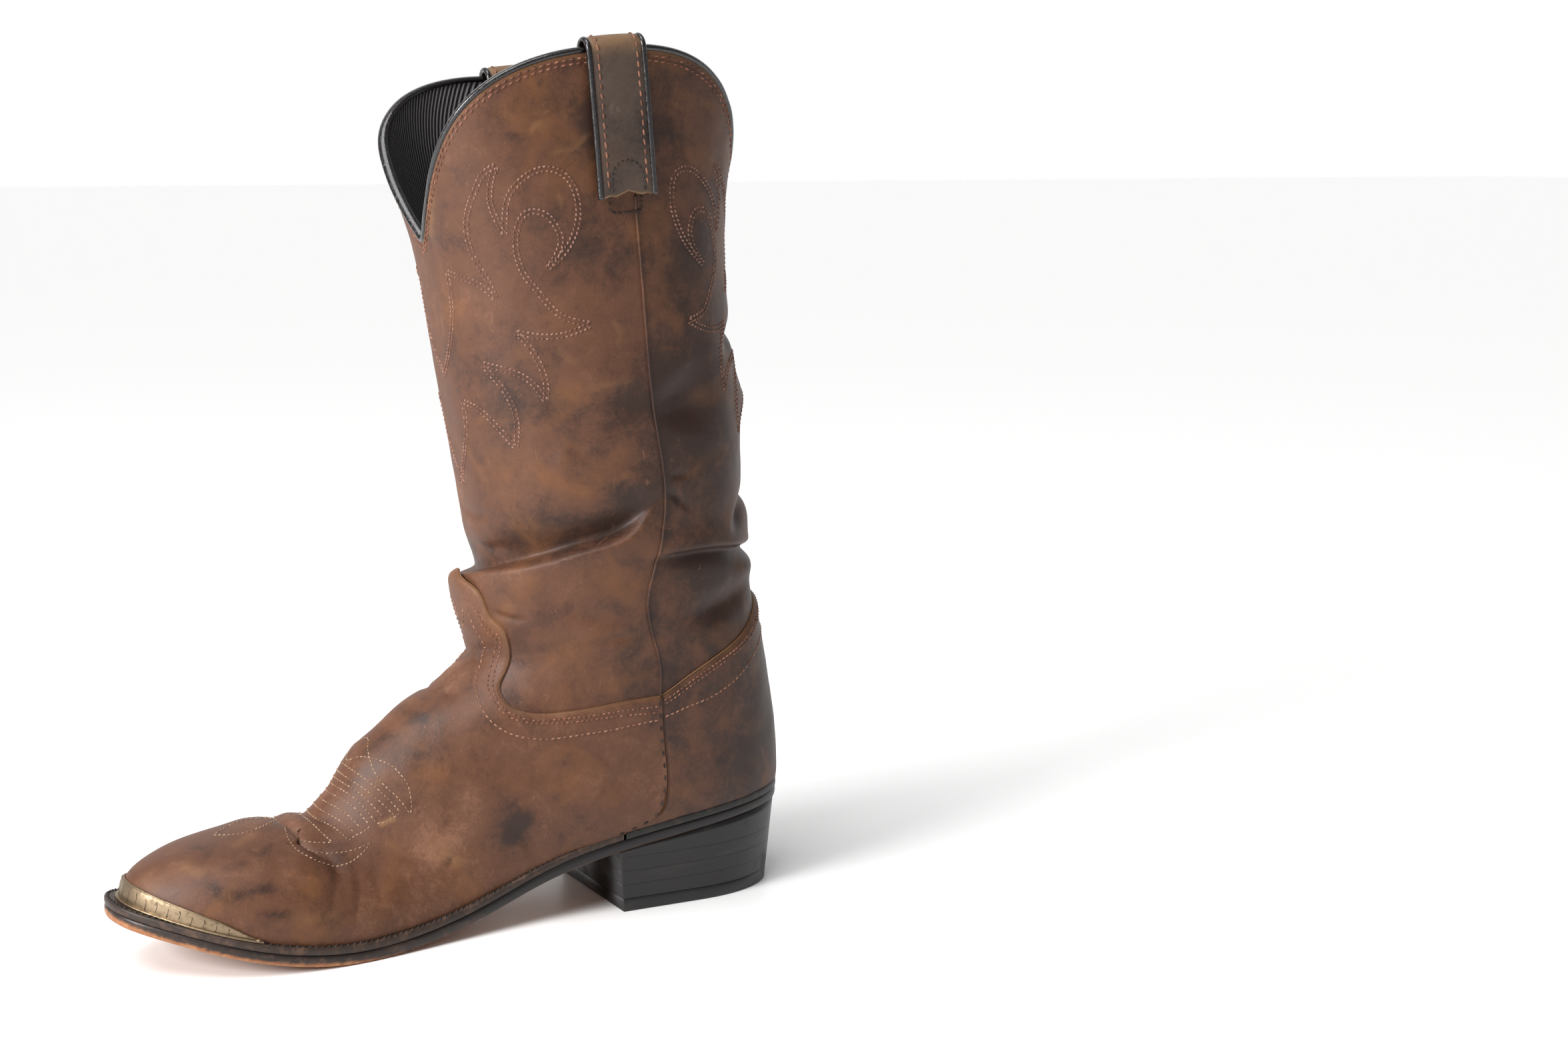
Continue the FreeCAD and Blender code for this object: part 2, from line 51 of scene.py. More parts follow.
CHORDS = np.array([
    (183.0, 388.0, 11.0, 388.0, 58.5, 0.50, 2.4, 2.2, -0.6),
    (175.0, 340.0, 20.8, 340.0, 58.0, 0.50, 3.0, 2.2, -0.6),
    (160.3, 292.0, 26.0, 292.0, 56.2, 0.50, 2.5, 2.2, -0.2),
    (153.5, 244.0, 21.5, 244.0, 54.5, 0.50, 2.2, 2.2, 0.0),
    (146.0, 198.0, 17.0, 198.0, 52.0, 0.50, 2.2, 2.2, 0.0),
    (142.3, 162.0, 15.5, 164.0, 49.0, 0.50, 2.2, 2.2, 0.0),
    (145.6, 137.0, 11.0, 136.0, 46.5, 0.50, 2.1, 2.2, 0.0),
    (143.0, 117.0, 6.0, 109.0, 44.0, 0.51, 2.0, 2.2, 0.0),
    (157.8, 102.0, 1.0, 83.0, 42.0, 0.53, 2.0, 2.2, 0.0),
    (173.0, 94.9, -1.8, 58.0, 40.5, 0.55, 2.0, 2.2, 0.0),
    (183.0, 87.3, 1.5, 38.0, 39.5, 0.57, 2.0, 2.2, -0.2),
    (191.0, 81.0, 21.0, 31.0, 39.2, 0.59, 2.0, 2.4, -0.7),
    (198.0, 74.0, 48.0, 28.5, 38.4, 0.61, 2.0, 2.7, -1.8),
    (204.5, 63.0, 78.0, 25.0, 36.8, 0.63, 2.0, 3.0, -3.2),
    (211.0, 53.5, 108.0, 19.0, 35.8, 0.65, 2.0, 3.0, -4.2),
    (218.0, 50.3, 140.0, 7.0, 37.5, 0.67, 2.0, 3.0, -4.5),
    (226.0, 49.0, 172.0, -2.0, 41.5, 0.68, 2.0, 3.0, -4.2),
    (235.0, 49.8, 203.0, -4.5, 44.6, 0.68, 2.1, 3.0, -3.4),
    (246.0, 49.1, 232.0, -2.5, 43.4, 0.68, 2.2, 3.0, -2.2),
    (258.0, 48.0, 256.0, 3.0, 38.0, 0.68, 2.3, 3.0, -0.8),
    (271.0, 46.0, 271.0, 8.5, 31.0, 0.66, 2.3, 3.0, 0.3),
    (281.5, 43.0, 281.5, 13.0, 23.5, 0.64, 2.3, 3.0, 0.9),
    (289.3, 39.6, 289.3, 17.0, 16.0, 0.62, 2.3, 3.0, 1.2),
    (294.0, 35.6, 294.0, 19.5, 9.0, 0.60, 2.2, 3.0, 1.4),
    (295.9, 29.0, 295.9, 22.0, 2.5, 0.60, 2.2, 3.0, 1.5),
])
SEAT_LINE = np.array([(-16.0, 47.2), (20.0, 44.8), (55.0, 41.6), (86.0, 37.0), (106.0, 32.4), (124.0, 26.6),
                      (142.0, 20.0), (160.0, 14.4), (182.0, 10.2), (206.0, 8.5), (230.0, 10.2),
                      (256.0, 15.4), (282.0, 23.0), (312.0, 32.6)])
RIM_DIP, RIM_RISE, RIM_LEAN, RIM_SKEW = 296.0, 74.4, 4.9, 9.0
BINDING_RADIUS = 1.55
LEATHER, LINING, GAP = 2.0, 0.9, 0.1


def spline(xs, ys):
    """Natural cubic spline through the points, for arrays."""
    xs, ys = np.asarray(xs, float), np.asarray(ys, float)
    n = len(xs)
    h = np.diff(xs)
    a = np.eye(n)
    rhs = np.zeros((n,) + ys.shape[1:])
    slope = np.diff(ys, axis=0) / h.reshape((-1,) + (1,) * (ys.ndim - 1))
    for i in range(1, n - 1):
        a[i, i - 1:i + 2] = h[i - 1], 2 * (h[i - 1] + h[i]), h[i]
        rhs[i] = 6 * (slope[i] - slope[i - 1])
    bend = np.linalg.solve(a, rhs)

    def value(x):
        x = np.asarray(x, float)
        i = np.clip(np.searchsorted(xs, x) - 1, 0, n - 2)
        step = h[i]
        p, q = (xs[i + 1] - x) / step, (x - xs[i]) / step
        if ys.ndim > 1:
            p, q, step = p[..., None], q[..., None], step[..., None]
        curve = (p ** 3 - p) * bend[i] + (q ** 3 - q) * bend[i + 1]
        return p * ys[i] + q * ys[i + 1] + curve * step ** 2 / 6
    return value


chord = spline(range(len(CHORDS)), CHORDS)
seat = spline(SEAT_LINE[:, 0], SEAT_LINE[:, 1])
TOE_END = len(CHORDS) - 1.0


def bare(s, angle):
    """Points on the smooth skin: chord s, angle in degrees, 0 in front and 180 at the back."""
    s, angle = np.broadcast_arrays(np.asarray(s, float), np.asarray(angle, float))
    c = chord(np.clip(s, 0, TOE_END))
    cos, sin = np.cos(np.radians(angle)), np.sin(np.radians(angle))
    square = 2 / np.where(cos > 0, c[..., 6], c[..., 7])
    along = np.abs(cos) ** square
    level = c[..., 5]
    t = np.where(cos > 0, level * (1 - along), level + (1 - level) * along)
    x = c[..., 0] + (c[..., 2] - c[..., 0]) * t - HALF_LENGTH
    y = np.sign(sin) * np.abs(sin) ** square * c[..., 4] + c[..., 8]
    z = c[..., 1] + (c[..., 3] - c[..., 1]) * t
    return np.stack([x, y, z], -1)


def unit(v):
    return v / np.maximum(np.linalg.norm(v, axis=-1, keepdims=True), 1e-9)


def frame_at(place, s, angle, e=2e-3, ea=0.12):
    """Tangents down the boot and round it, and the outward normal, of a surface."""
    lo, hi = np.clip(s - e, 0, TOE_END), np.clip(s + e, 0, TOE_END)
    down = (place(hi, angle) - place(lo, angle)) / (hi - lo)[..., None]
    round_ = (place(s, angle + ea) - place(s, angle - ea)) / (2 * ea)
    return down, round_, unit(np.cross(down, round_))


def over_line(points, line):
    """For points in mm: distance to a polyline, share along it, and height over it."""
    best = np.full(points.shape[:-1], 1e9)
    share, rise = np.zeros_like(best), np.zeros_like(best)
    reach = np.concatenate([[0.0], np.cumsum(np.linalg.norm(np.diff(line, axis=0), axis=1))])
    for i in range(len(line) - 1):
        step = line[i + 1] - line[i]
        away = points - line[i]
        t = np.clip((away @ step) / max(step @ step, 1e-9), 0, 1)
        gap = away - t[..., None] * step
        distance = np.linalg.norm(gap, axis=-1)
        nearer = distance < best
        best = np.where(nearer, distance, best)
        share = np.where(nearer, (reach[i] + t * (reach[i + 1] - reach[i])) / reach[-1], share)
        rise = np.where(nearer, gap[..., 2], rise)
    return best, share, rise


def on_skin(places, count):
    """A smooth line through (chord, angle) places, as points on the smooth skin."""
    places = np.array(places, float)
    curve = spline(np.arange(len(places)), places)(np.linspace(0, len(places) - 1, count))
    return bare(curve[:, 0], curve[:, 1])


def swell(share, ends):
    """1 along a line, easing to 0 over the share called ends at both of its ends."""
    t = np.clip(np.minimum(share, 1 - share) / ends, 0, 1)
    return t * t * (3 - 2 * t)


# Folds of worn leather: height above the smooth skin in mm, half width in mm, how much of each
# end fades away, and the line's places.
FOLDS = [
    # shaft, front half
    (-1.1, 2.6, 0.4, [(4.5, -16), (4.49, 1.8), (4.48, 14.2), (4.45, 30.2)]),
    (-1.2, 2.4, 0.4, [(4.98, -24), (4.94, 6.5), (4.91, 20.2), (4.9, 35.5)]),
    (0.9, 4, 0.5, [(3.72, 66), (3.84, 59), (3.97, 54)]),
    (-1, 9, 0.5, [(3.2, 78), (3.35, 86), (3.45, 92)]),
    (-1.6, 6, 0.5, [(5.63, 30), (5.78, 44.5), (5.94, 61.2), (6.02, 76.2), (6.05, 90.5)]),
    (1, 5, 0.5, [(6.28, 53.5), (6.36, 66.8), (6.4, 80.2)]),
    (-0.8, 2, 0.4, [(6.63, 58.8), (6.48, 74), (6.4, 88.2)]),
    (-1.4, 6, 0.4, [(3.35, -62), (3.5, -80), (3.72, -96), (4, -112)]),
    (-1.6, 5, 0.4, [(5.7, -20), (5.86, -45), (5.8, -70), (5.6, -92)]),
    (-0.8, 1.6, 0.4, [(5.87, 21), (5.97, 25.8), (6.06, 32.5), (6.08, 44.8)]),
    # shaft, back half
    (-3.4, 12, 0.4, [(3.05, 104), (3.36, 108), (3.66, 106)]),
    (-1.2, 1.8, 0.4, [(4.2, 95), (4.26, 99), (4.36, 103), (4.54, 108)]),
    (-2.6, 4, 0.3, [(4.36, 186), (4.42, 166), (4.6, 148), (4.87, 134.5), (5, 128.5)]),
    (3.2, 9, 0.4, [(4.76, 205), (4.74, 180), (4.82, 156), (4.93, 142.8)]),
    (-3, 5, 0.3, [(2.7, 190), (2.74, 166), (2.85, 147.5), (3.02, 134)]),
    (3, 11, 0.4, [(3.3, 200), (3.34, 176), (3.42, 156), (3.56, 141.8)]),
    (2.6, 6, 0.3, [(5.44, 210), (5.42, 180), (5.51, 153.8), (5.63, 129.5)]),
    (-2.6, 6, 0.4, [(6.15, 97.2), (6.08, 115.2), (5.88, 137.2), (5.7, 158)]),
    (-0.9, 1.6, 0.4, [(4.02, 97), (4.05, 102), (4.02, 108)]),
    (-2.4, 6, 0.4, [(3.6, 214), (3.84, 232), (4.2, 246), (4.42, 262)]),
    (-2, 4, 0.4, [(4.5, 200), (4.74, 222), (4.7, 244), (4.52, 262)]),
    (-2.2, 5, 0.4, [(6, 205), (6.16, 228), (6.1, 250), (5.8, 270)]),
    # throat, where the boot bends at the ankle
    (-2.4, 2.6, 0.35, [(7.1, -34), (7.1, -10), (7.12, 6), (7.17, 16), (7.2, 24)]),
    (-0.7, 1.2, 0.3, [(6.8, 2), (6.78, 13), (6.74, 25)]),
    (-0.7, 1.2, 0.3, [(6.96, 2), (6.95, 13), (6.93, 24)]),
    (-0.8, 1.4, 0.3, [(6.9, -26), (6.92, -14), (6.94, -5)]),
    (1.2, 5, 0.4, [(7.7, -20), (7.6, 0), (7.65, 16)]),
    (-1.4, 2.8, 0.45, [(7.96, 2), (8.04, 10), (8.12, 17), (8.22, 23)]),
    (-1.2, 2.2, 0.35, [(8.1, -4), (8.28, -18), (8.5, -30), (8.8, -40)]),
    # vamp: the flex lines over the ball, the puckers at its sides and a slack place at the waist
    (-1, 3.2, 0.2, [(16.9, -84), (16.2, -60), (16, -48), (16.3, -36), (16.5, -22), (16.58, -6), (16.54, 7),
         (16.33, 22.2), (16.2, 32), (16.07, 40), (16.12, 47.5), (16.32, 56.5), (16.6, 68), (16.85, 80)]),
    (0.9, 7, 0.3, [(17.9, -38), (17.7, -14), (17.53, 6.8), (17.7, 31.2)]),
    (1.2, 5, 0.3, [(15.8, -34), (15.8, -10), (15.62, 10), (15.3, 26.8)]),
    (-1.2, 3, 0.3, [(15.2, -44), (14.96, -18), (14.8, 4), (14.6, 18), (14.71, 33.2)]),
    (1.2, 6, 0.4, [(14, -30), (13.8, -10), (13.55, 6), (13.46, 26)]),
    (-0.45, 2, 0.3, [(15.8, 53.8), (16.17, 64.8), (16.65, 78), (16.98, 86.8)]),
    (-0.45, 2, 0.3, [(16.35, 52.2), (16.73, 63.5), (17.17, 75.2)]),
    (-0.35, 1.8, 0.3, [(15.5, 58.2), (15.89, 71), (16.23, 81.8)]),
    (-0.4, 2, 0.3, [(16.2, -58), (16.7, -70), (17.2, -80)]),
    (-1.1, 6, 0.4, [(11.59, 45.5), (12.33, 54.2), (13.15, 61.2), (13.94, 70.2)]),
    (1.3, 8, 0.4, [(12.33, 46.2), (12.91, 54), (14.01, 66), (14.86, 79.2)]),
    (-0.9, 1.4, 0.4, [(14.06, 72.5), (14.55, 79.2)]),
    (-1.2, 7, 0.4, [(12.74, 85.2), (13.44, 87.5)]),
]
# Lips, where slack leather hangs over a fold: how proud one side stands, how deep the other
# side sinks, their two half widths, the ends, which side is proud (1 is above), and the places.
LIPS = [
    (2.6, 7.2, 12, 12, 0.2, -1, [(5.46, -52), (5.46, -24), (5.26, 9.2), (5.15, 28.2), (5.03, 45.8),
         (4.94, 56.2), (4.85, 66.8), (4.78, 75.5), (4.66, 83.2), (4.49, 88), (4.35, 92), (4.2, 95)]),
    (2.2, 3.2, 9, 6, 0.22, 1, [(5.17, 85.2), (5.06, 92.8), (5.05, 102.8), (5.06, 120.8), (5.17, 151.2),
         (5.2, 184), (5.1, 215), (5, 240)]),
    (1.6, 3, 10, 11, 0.25, -1, [(5.1, -40), (5, -56), (4.9, -72), (4.72, -86), (4.5, -96), (4.36, -108)]),
    (0.9, 1.2, 5, 4, 0.3, 1, [(16.45, -24), (16.54, 0), (16.45, 14), (16.3, 24), (16.15, 36), (16.1, 46)]),
]
CRISP = 0.55


def fold_lines():
    lines = [(height, width, ends, on_skin(places, 24)) for height, width, ends, places in FOLDS]
    lips = [row[:6] + (on_skin(row[6], 40),) for row in LIPS]
    return lines, lips


FOLD_LINES, LIP_LINES = fold_lines()


def near_box(p, line, margin):
    low, high = line.min(0) - margin, line.max(0) + margin
    return np.all((p > low) & (p < high), axis=-1)


def soft_noise(p, wave, seed):
    """A smooth random height made of a few sine waves in seeded directions."""
    draw = np.random.default_rng(seed)
    total = np.zeros(p.shape[:-1])
    for _ in range(7):
        direction = draw.normal(size=3)
        direction *= 2 * math.pi / (wave * draw.uniform(0.7, 1.5) * np.linalg.norm(direction))
        total += np.sin(p @ direction + draw.uniform(0, 6.28))
    return total / 7


def creases(p):
    """How far the worn leather stands in or out of the smooth skin, in mm."""
    height = 0.9 * soft_noise(p, 46.0, 3) + 0.25 * soft_noise(p, 15.0, 5)
    calm = np.clip((p[..., 0] + HALF_LENGTH - 232) / 20, 0, 1)
    height = height * (1 - 0.8 * calm)
    for rise, width, ends, line in FOLD_LINES:
        near = near_box(p, line, 3.2 * width)
        if near.any():
            distance, share, _ = over_line(p[near], line)
            height[near] += rise * np.exp(-(distance / width) ** 2) * swell(share, ends)
    for proud, sunk, proud_width, sunk_width, ends, side, line in LIP_LINES:
        near = near_box(p, line, 3.0 * max(proud_width, sunk_width))
        if near.any():
            distance, share, over = over_line(p[near], line)
            signed = np.copysign(distance, over) * side
            step = 1 / (1 + np.exp(-signed / CRISP))
            up = proud * np.exp(-(distance / proud_width) ** 2) * step
            down = sunk * np.exp(-(distance / sunk_width) ** 2) * (1 - step)
            height[near] += (up - down) * swell(share, ends)
    return height


def worn(s, angle):
    s, angle = np.broadcast_arrays(np.asarray(s, float), np.asarray(angle, float))
    p = bare(s, angle)
    normal = frame_at(bare, s, angle)[2]
    return p + normal * creases(p)[..., None]


def chord_at_height(z):
    k = np.linspace(0, 5, 400)
    return np.interp(-np.asarray(z), -chord(k)[:, 1], k)


def rim_height(angle):
    sin, cos = np.sin(np.radians(angle)), np.cos(np.radians(angle))
    skew = RIM_SKEW * np.maximum(sin, 0.0) * cos
    return RIM_DIP + RIM_RISE * np.abs(sin) ** 0.9 + RIM_LEAN * sin - skew


def rim(angle, below=0.0):
    return chord_at_height(rim_height(angle) - below)


def over_seat(s, angle):
    p = bare(s, angle)
    return p[..., 2] - seat(p[..., 0] + HALF_LENGTH)


def bisect(test, low, high, steps=34):
    """Per element, where test turns from true to false between low and high."""
    for _ in range(steps):
        middle = (low + high) / 2
        yes = test(middle)
        low, high = np.where(yes, middle, low), np.where(yes, high, middle)
    return (low + high) / 2


def seat_angle(s):
    """Angle at which each chord meets the seat line; 180 for chords that stay above it."""
    s = np.asarray(s, float)
    return bisect(lambda a: over_seat(s, a) > 0, np.zeros_like(s), np.full_like(s, 180.0))


def seat_chord(angle):
    """Chord at which each line of constant angle meets the seat line, at the heel."""
    angle = np.asarray(angle, float)
    return bisect(lambda s: over_seat(s, angle) > 0, np.full_like(angle, 9.0), np.full_like(angle, 12.5))


HEEL_CHORD = float(bisect(lambda s: over_seat(s, 180.0) > 0, np.array(8.0), np.array(11.0)))
TIP_CHORD = float(bisect(lambda s: over_seat(s, 0.0) > 0, np.array(21.0), np.array(TOE_END)))

# ---------------------------------------------------------------- meshes


def mesh(name, points, faces, material, **numbers):
    """An object from points in mm. Extra arrays become per-vertex numbers for its material."""
    data = bpy.data.meshes.new(name)
    points = np.asarray(points, float).reshape(-1, 3) * 0.001
    faces = np.asarray(faces, np.int32)
    data.vertices.add(len(points))
    data.vertices.foreach_set("co", points.ravel())
    data.loops.add(faces.size)
    data.loops.foreach_set("vertex_index", faces.ravel())
    data.polygons.add(len(faces))
    data.polygons.foreach_set("loop_start", np.arange(len(faces), dtype=np.int32) * faces.shape[1])
    data.update(calc_edges=True)
    data.polygons.foreach_set("use_smooth", np.full(len(faces), True))
    for key, values in numbers.items():
        layer = data.attributes.new(key, "FLOAT", "POINT")
        layer.data.foreach_set("value", np.asarray(values, np.float32).ravel())
    data.validate()
    data.materials.append(material)
    piece = bpy.data.objects.new(name, data)
    bpy.context.scene.collection.objects.link(piece)
    return piece


def grid_faces(rows, columns, closed=False, start=0, flip=False):
    i = np.arange(rows - 1)[:, None]
    j = np.arange(columns if closed else columns - 1)[None, :]
    k = (j + 1) % columns
    quads = np.stack([i * columns + j, i * columns + k, (i + 1) * columns + k, (i + 1) * columns + j], -1)
    quads = quads.reshape(-1, 4) + start
    return quads[:, ::-1] if flip else quads


def place_on(piece, body, slot, *nodes):
    """Body and CAD nodes of a piece; slot, its finish, is not used. Pieces on the body called ankle are baked
    in place, not attached to a body.
    """
    if body == "ankle":
        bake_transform(piece)
    else:
        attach(piece, body)
    if nodes:
        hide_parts(*nodes)
    return piece


def round_border(shape, corner):
    """How far the border of a grid drops, so that a cut edge is rounded, not knife sharp."""
    rows, columns = shape
    drop = np.zeros(shape)
    drop[0], drop[-1], drop[:, 0], drop[:, -1] = corner, corner, corner, corner
    return drop


def leather_sheet(name, s, angle, material, out=0.0, thick=LEATHER, corner=0.35, **numbers):
    """A closed sheet over a grid of (chord, angle); number raw is 1 on its cut edges."""
    rows, columns = s.shape
    normal = frame_at(worn, s, angle)[2]
    face = worn(s, angle) + normal * np.broadcast_to(out - round_border(s.shape, corner), s.shape)[..., None]
    back = worn(s, angle) + normal * np.broadcast_to(out - thick, s.shape)[..., None]
    border = np.concatenate([np.arange(columns), np.arange(1, rows) * columns + columns - 1,
                             (rows - 1) * columns + np.arange(columns - 2, -1, -1),
                             np.arange(rows - 2, 0, -1) * columns])
    size, count = rows * columns, len(border)
    face, back, up = face.reshape(-1, 3), back.reshape(-1, 3), normal.reshape(-1, 3)
    lip = face[border] - up[border] * 0.15
    points = np.concatenate([face, back, lip])
    a = np.arange(count)
    b = (a + 1) % count
    step = np.stack([border[b], border[a], 2 * size + a, 2 * size + b], -1)
    wall = np.stack([2 * size + b, 2 * size + a, size + border[a], size + border[b]], -1)
    faces = np.concatenate([grid_faces(rows, columns, flip=True),
                            grid_faces(rows, columns, start=size), step, wall])
    spread = {k: np.concatenate([np.ravel(v), np.ravel(v), np.ravel(v)[border]]) for k, v in numbers.items()}
    spread["raw"] = np.concatenate([np.zeros(size), np.ones(size), np.ones(count)])
    return mesh(name, points, faces, material, **spread)


def travel(points):
    return np.concatenate([[0.0], np.cumsum(np.linalg.norm(np.diff(points, axis=0), axis=1))])


def evenly(points, pitch, *others):
    """Places a pitch apart along a line, with other per-point arrays read at the same places."""
    reach = travel(points)
    count = max(int(round(reach[-1] / pitch)), 1)
    at = (np.arange(count) + 0.5) * reach[-1] / count

    def read(values):
        return np.stack([np.interp(at, reach, values[:, i]) for i in range(values.shape[1])], -1)
    return [read(points)] + [read(v) for v in others]


def tube(name, path, radius, material, sides=12, up=None, flat=1.0, **numbers):
    """A round or flattened tube along points; up is its flattened direction."""
    path = np.asarray(path, float)
    along = unit(np.concatenate([path[1:], path[-1:]]) - np.concatenate([path[:1], path[:-1]]))
    if up is None:
        up = np.empty_like(path)
        last = np.array([0.3, 0.5, 0.81])
        for i, direction in enumerate(along):
            last = unit(last - direction * (last @ direction))
            up[i] = last
    side = unit(np.cross(along, up))
    up = unit(np.cross(side, along))
    turn = np.arange(sides) * 2 * math.pi / sides
    radius = np.broadcast_to(radius, len(path))[:, None, None]
    ring = side[:, None] * np.cos(turn)[None, :, None] + up[:, None] * np.sin(turn)[None, :, None] * flat
    points = path[:, None] + ring * radius
    faces = grid_faces(len(path), sides, closed=True)
    caps = []
    flat_points = points.reshape(-1, 3)
    ends = [path[0], path[-1]]
    for end, first in ((0, 0), (1, (len(path) - 1) * sides)):
        centre = len(flat_points) + end
        for k in range(0, sides, 2):
            quad = [first + k, first + (k + 1) % sides, first + (k + 2) % sides, centre]
            caps.append(quad if end else quad[::-1])
    points = np.concatenate([flat_points, ends])
    return mesh(name, points, np.concatenate([faces, np.array(caps)]), material, **numbers)


def capsule(sides=6):
    """A stitch of length 1 and radius 1 along X, its ends bent down, and its quads."""
    stations = [(-0.5, 0.25, -1.5), (-0.42, 0.85, -0.75), (-0.2, 1.0, -0.15), (0.0, 1.0, 0.0),
                (0.2, 1.0, -0.15), (0.42, 0.85, -0.75), (0.5, 0.25, -1.5)]
    turn = np.arange(sides) * 2 * math.pi / sides
    points = [[(x, math.cos(a) * r, math.sin(a) * r + z) for a in turn] for x, r, z in stations]
    quads = list(grid_faces(len(stations), sides, closed=True))
    for first, flip in ((0, True), ((len(stations) - 1) * sides, False)):
        for k in range(0, sides - 2, 2):
            quad = [first, first + k + 1, first + k + 2, first + (k + 3) % sides]
            quads.append(quad[::-1] if flip else quad)
    return np.array(points).reshape(-1, 3), np.array(quads)


STITCH_POINTS, STITCH_FACES = capsule()


def stitches(name, rows, material, pitch=2.6, length=0.78, radius=0.38, lift=0.1, slant=6.0, seed=1):
    """Stitches along rows of (points, normals): length is a share of the pitch."""
    draw = np.random.default_rng(seed)
    made, shade = [], []
    for points, normals in rows:
        centre, up = evenly(points, pitch, normals)
        reach = travel(points)
        along = unit(np.gradient(points, reach, axis=0))
        along = evenly(points, pitch, along)[1]
        along = unit(along - up * np.sum(along * up, -1, keepdims=True))
        up = unit(up)
        side = np.cross(up, along)
        angle = np.radians(slant + draw.normal(0, 4, len(centre)))[:, None]
        cos, sin = np.cos(angle), np.sin(angle)
        along, side = along * cos + side * sin, side * cos - along * sin
        size = draw.uniform(0.93, 1.07, len(centre))
        t = STITCH_POINTS
        made.append((centre + up * lift)[:, None] + along[:, None] * (t[:, 0] * pitch * length)[None, :, None]
                    * size[:, None, None] + side[:, None] * (t[:, 1] * radius)[None, :, None]
                    + up[:, None] * (t[:, 2] * radius)[None, :, None])
        shade.append(np.repeat(draw.uniform(0, 1, len(centre)), len(t)))
    points = np.concatenate(made)
    count = len(points)
    faces = (np.arange(count)[:, None, None] * len(STITCH_POINTS) + STITCH_FACES[None]).reshape(-1, 4)
    return mesh(name, points.reshape(-1, 3), faces, material, tint=np.concatenate(shade))


def seam_line(places, out=0.0, step=0.8, aside=0.0, mirror=False):
    """A row on the worn skin through (chord, angle) places: points and outward normals."""
    places = np.array(places, float)
    if mirror:
        places = places * np.array([1.0, -1.0])
    knots = travel(bare(places[:, 0], places[:, 1]))
    keep = np.concatenate([[True], np.diff(knots) > 1e-6])
    curve = spline(knots[keep], places[keep])(np.arange(0, knots[-1], step))
    s, angle = curve[:, 0], curve[:, 1]
    normal = frame_at(worn, s, angle)[2]
    points = worn(s, angle) + normal * out
    if aside:
        along = unit(np.gradient(points, axis=0))
        points = points + np.cross(normal, along) * aside
    return points, normal


# ---------------------------------------------------------------- materials


class Nodes:
    """Short ways to make and link the nodes of one material."""

    def __init__(self, name, roughness, metallic=0.0, **sockets):
        self.material = bpy.data.materials.new(name)
        self.material.use_nodes = True
        self.tree = self.material.node_tree
        self.shader = self.tree.nodes["Principled BSDF"]
        self.shader.inputs["Roughness"].default_value = roughness
        self.shader.inputs["Metallic"].default_value = metallic
        for key, value in sockets.items():
            self.shader.inputs[key.replace("_", " ")].default_value = value
        self.place = self.add("ShaderNodeTexCoord").outputs["Object"]
        self.bumps = []

    def add(self, kind, **settings):
        node = self.tree.nodes.new(kind)
        for key, value in settings.items():
            setattr(node, key, value)
        return node

    def feed(self, socket, value):
        if isinstance(value, bpy.types.NodeSocket):
            self.tree.links.new(value, socket)
        else:
            socket.default_value = value

    def noise(self, size_mm, detail=3.0, rough=0.55, twist=0.0, stretch=None, seed=0.0):
        """Noise from 0 to 1 whose features are about size_mm across."""
        where = self.place
        if stretch or seed:
            scale = self.add("ShaderNodeMapping")
            self.feed(scale.inputs["Vector"], where)
            scale.inputs["Scale"].default_value = stretch or (1, 1, 1)
            scale.inputs["Location"].default_value = (seed, seed * 0.7, seed * 0.3)
            where = scale.outputs["Vector"]
        node = self.add("ShaderNodeTexNoise")
        self.feed(node.inputs["Vector"], where)
        node.inputs["Scale"].default_value = 1000.0 / size_mm
        node.inputs["Detail"].default_value = detail
        node.inputs["Roughness"].default_value = rough
        node.inputs["Distortion"].default_value = twist
        return node.outputs["Fac"]

    def number(self, name):
        return self.add("ShaderNodeAttribute", attribute_name=name).outputs["Fac"]

    def math(self, kind, a, b=0.0, clamp=False):
        node = self.add("ShaderNodeMath", operation=kind, use_clamp=clamp)
        self.feed(node.inputs[0], a)
        self.feed(node.inputs[1], b)
        return node.outputs[0]

    def between(self, value, low, high, to_low=0.0, to_high=1.0):
        node = self.add("ShaderNodeMapRange", interpolation_type="SMOOTHSTEP")
        for key, v in (("Value", value), ("From Min", low), ("From Max", high),
                       ("To Min", to_low), ("To Max", to_high)):
            self.feed(node.inputs[key], v)
        return node.outputs["Result"]

    def mix(self, share, a, b, blend="MIX"):
        node = self.add("ShaderNodeMix", data_type="RGBA", blend_type=blend)
        self.feed(node.inputs["Factor"], share)
        self.feed(node.inputs[6], (*a, 1) if isinstance(a, tuple) else a)
        self.feed(node.inputs[7], (*b, 1) if isinstance(b, tuple) else b)
        return node.outputs[2]

    def bump(self, height, depth_mm, strength=1.0):
        self.bumps.append((height, depth_mm, strength))

    def finish(self, color, roughness=None):
        self.feed(self.shader.inputs["Base Color"], color)
        if roughness is not None:
            self.feed(self.shader.inputs["Roughness"], roughness)
        normal = None
        for height, depth, strength in self.bumps:
            node = self.add("ShaderNodeBump")
            node.inputs["Distance"].default_value = depth * 0.001
            node.inputs["Strength"].default_value = strength
            self.feed(node.inputs["Height"], height)
            if normal:
                self.feed(node.inputs["Normal"], normal)
            normal = node.outputs["Normal"]
        if normal:
            self.feed(self.shader.inputs["Normal"], normal)
        return self.material


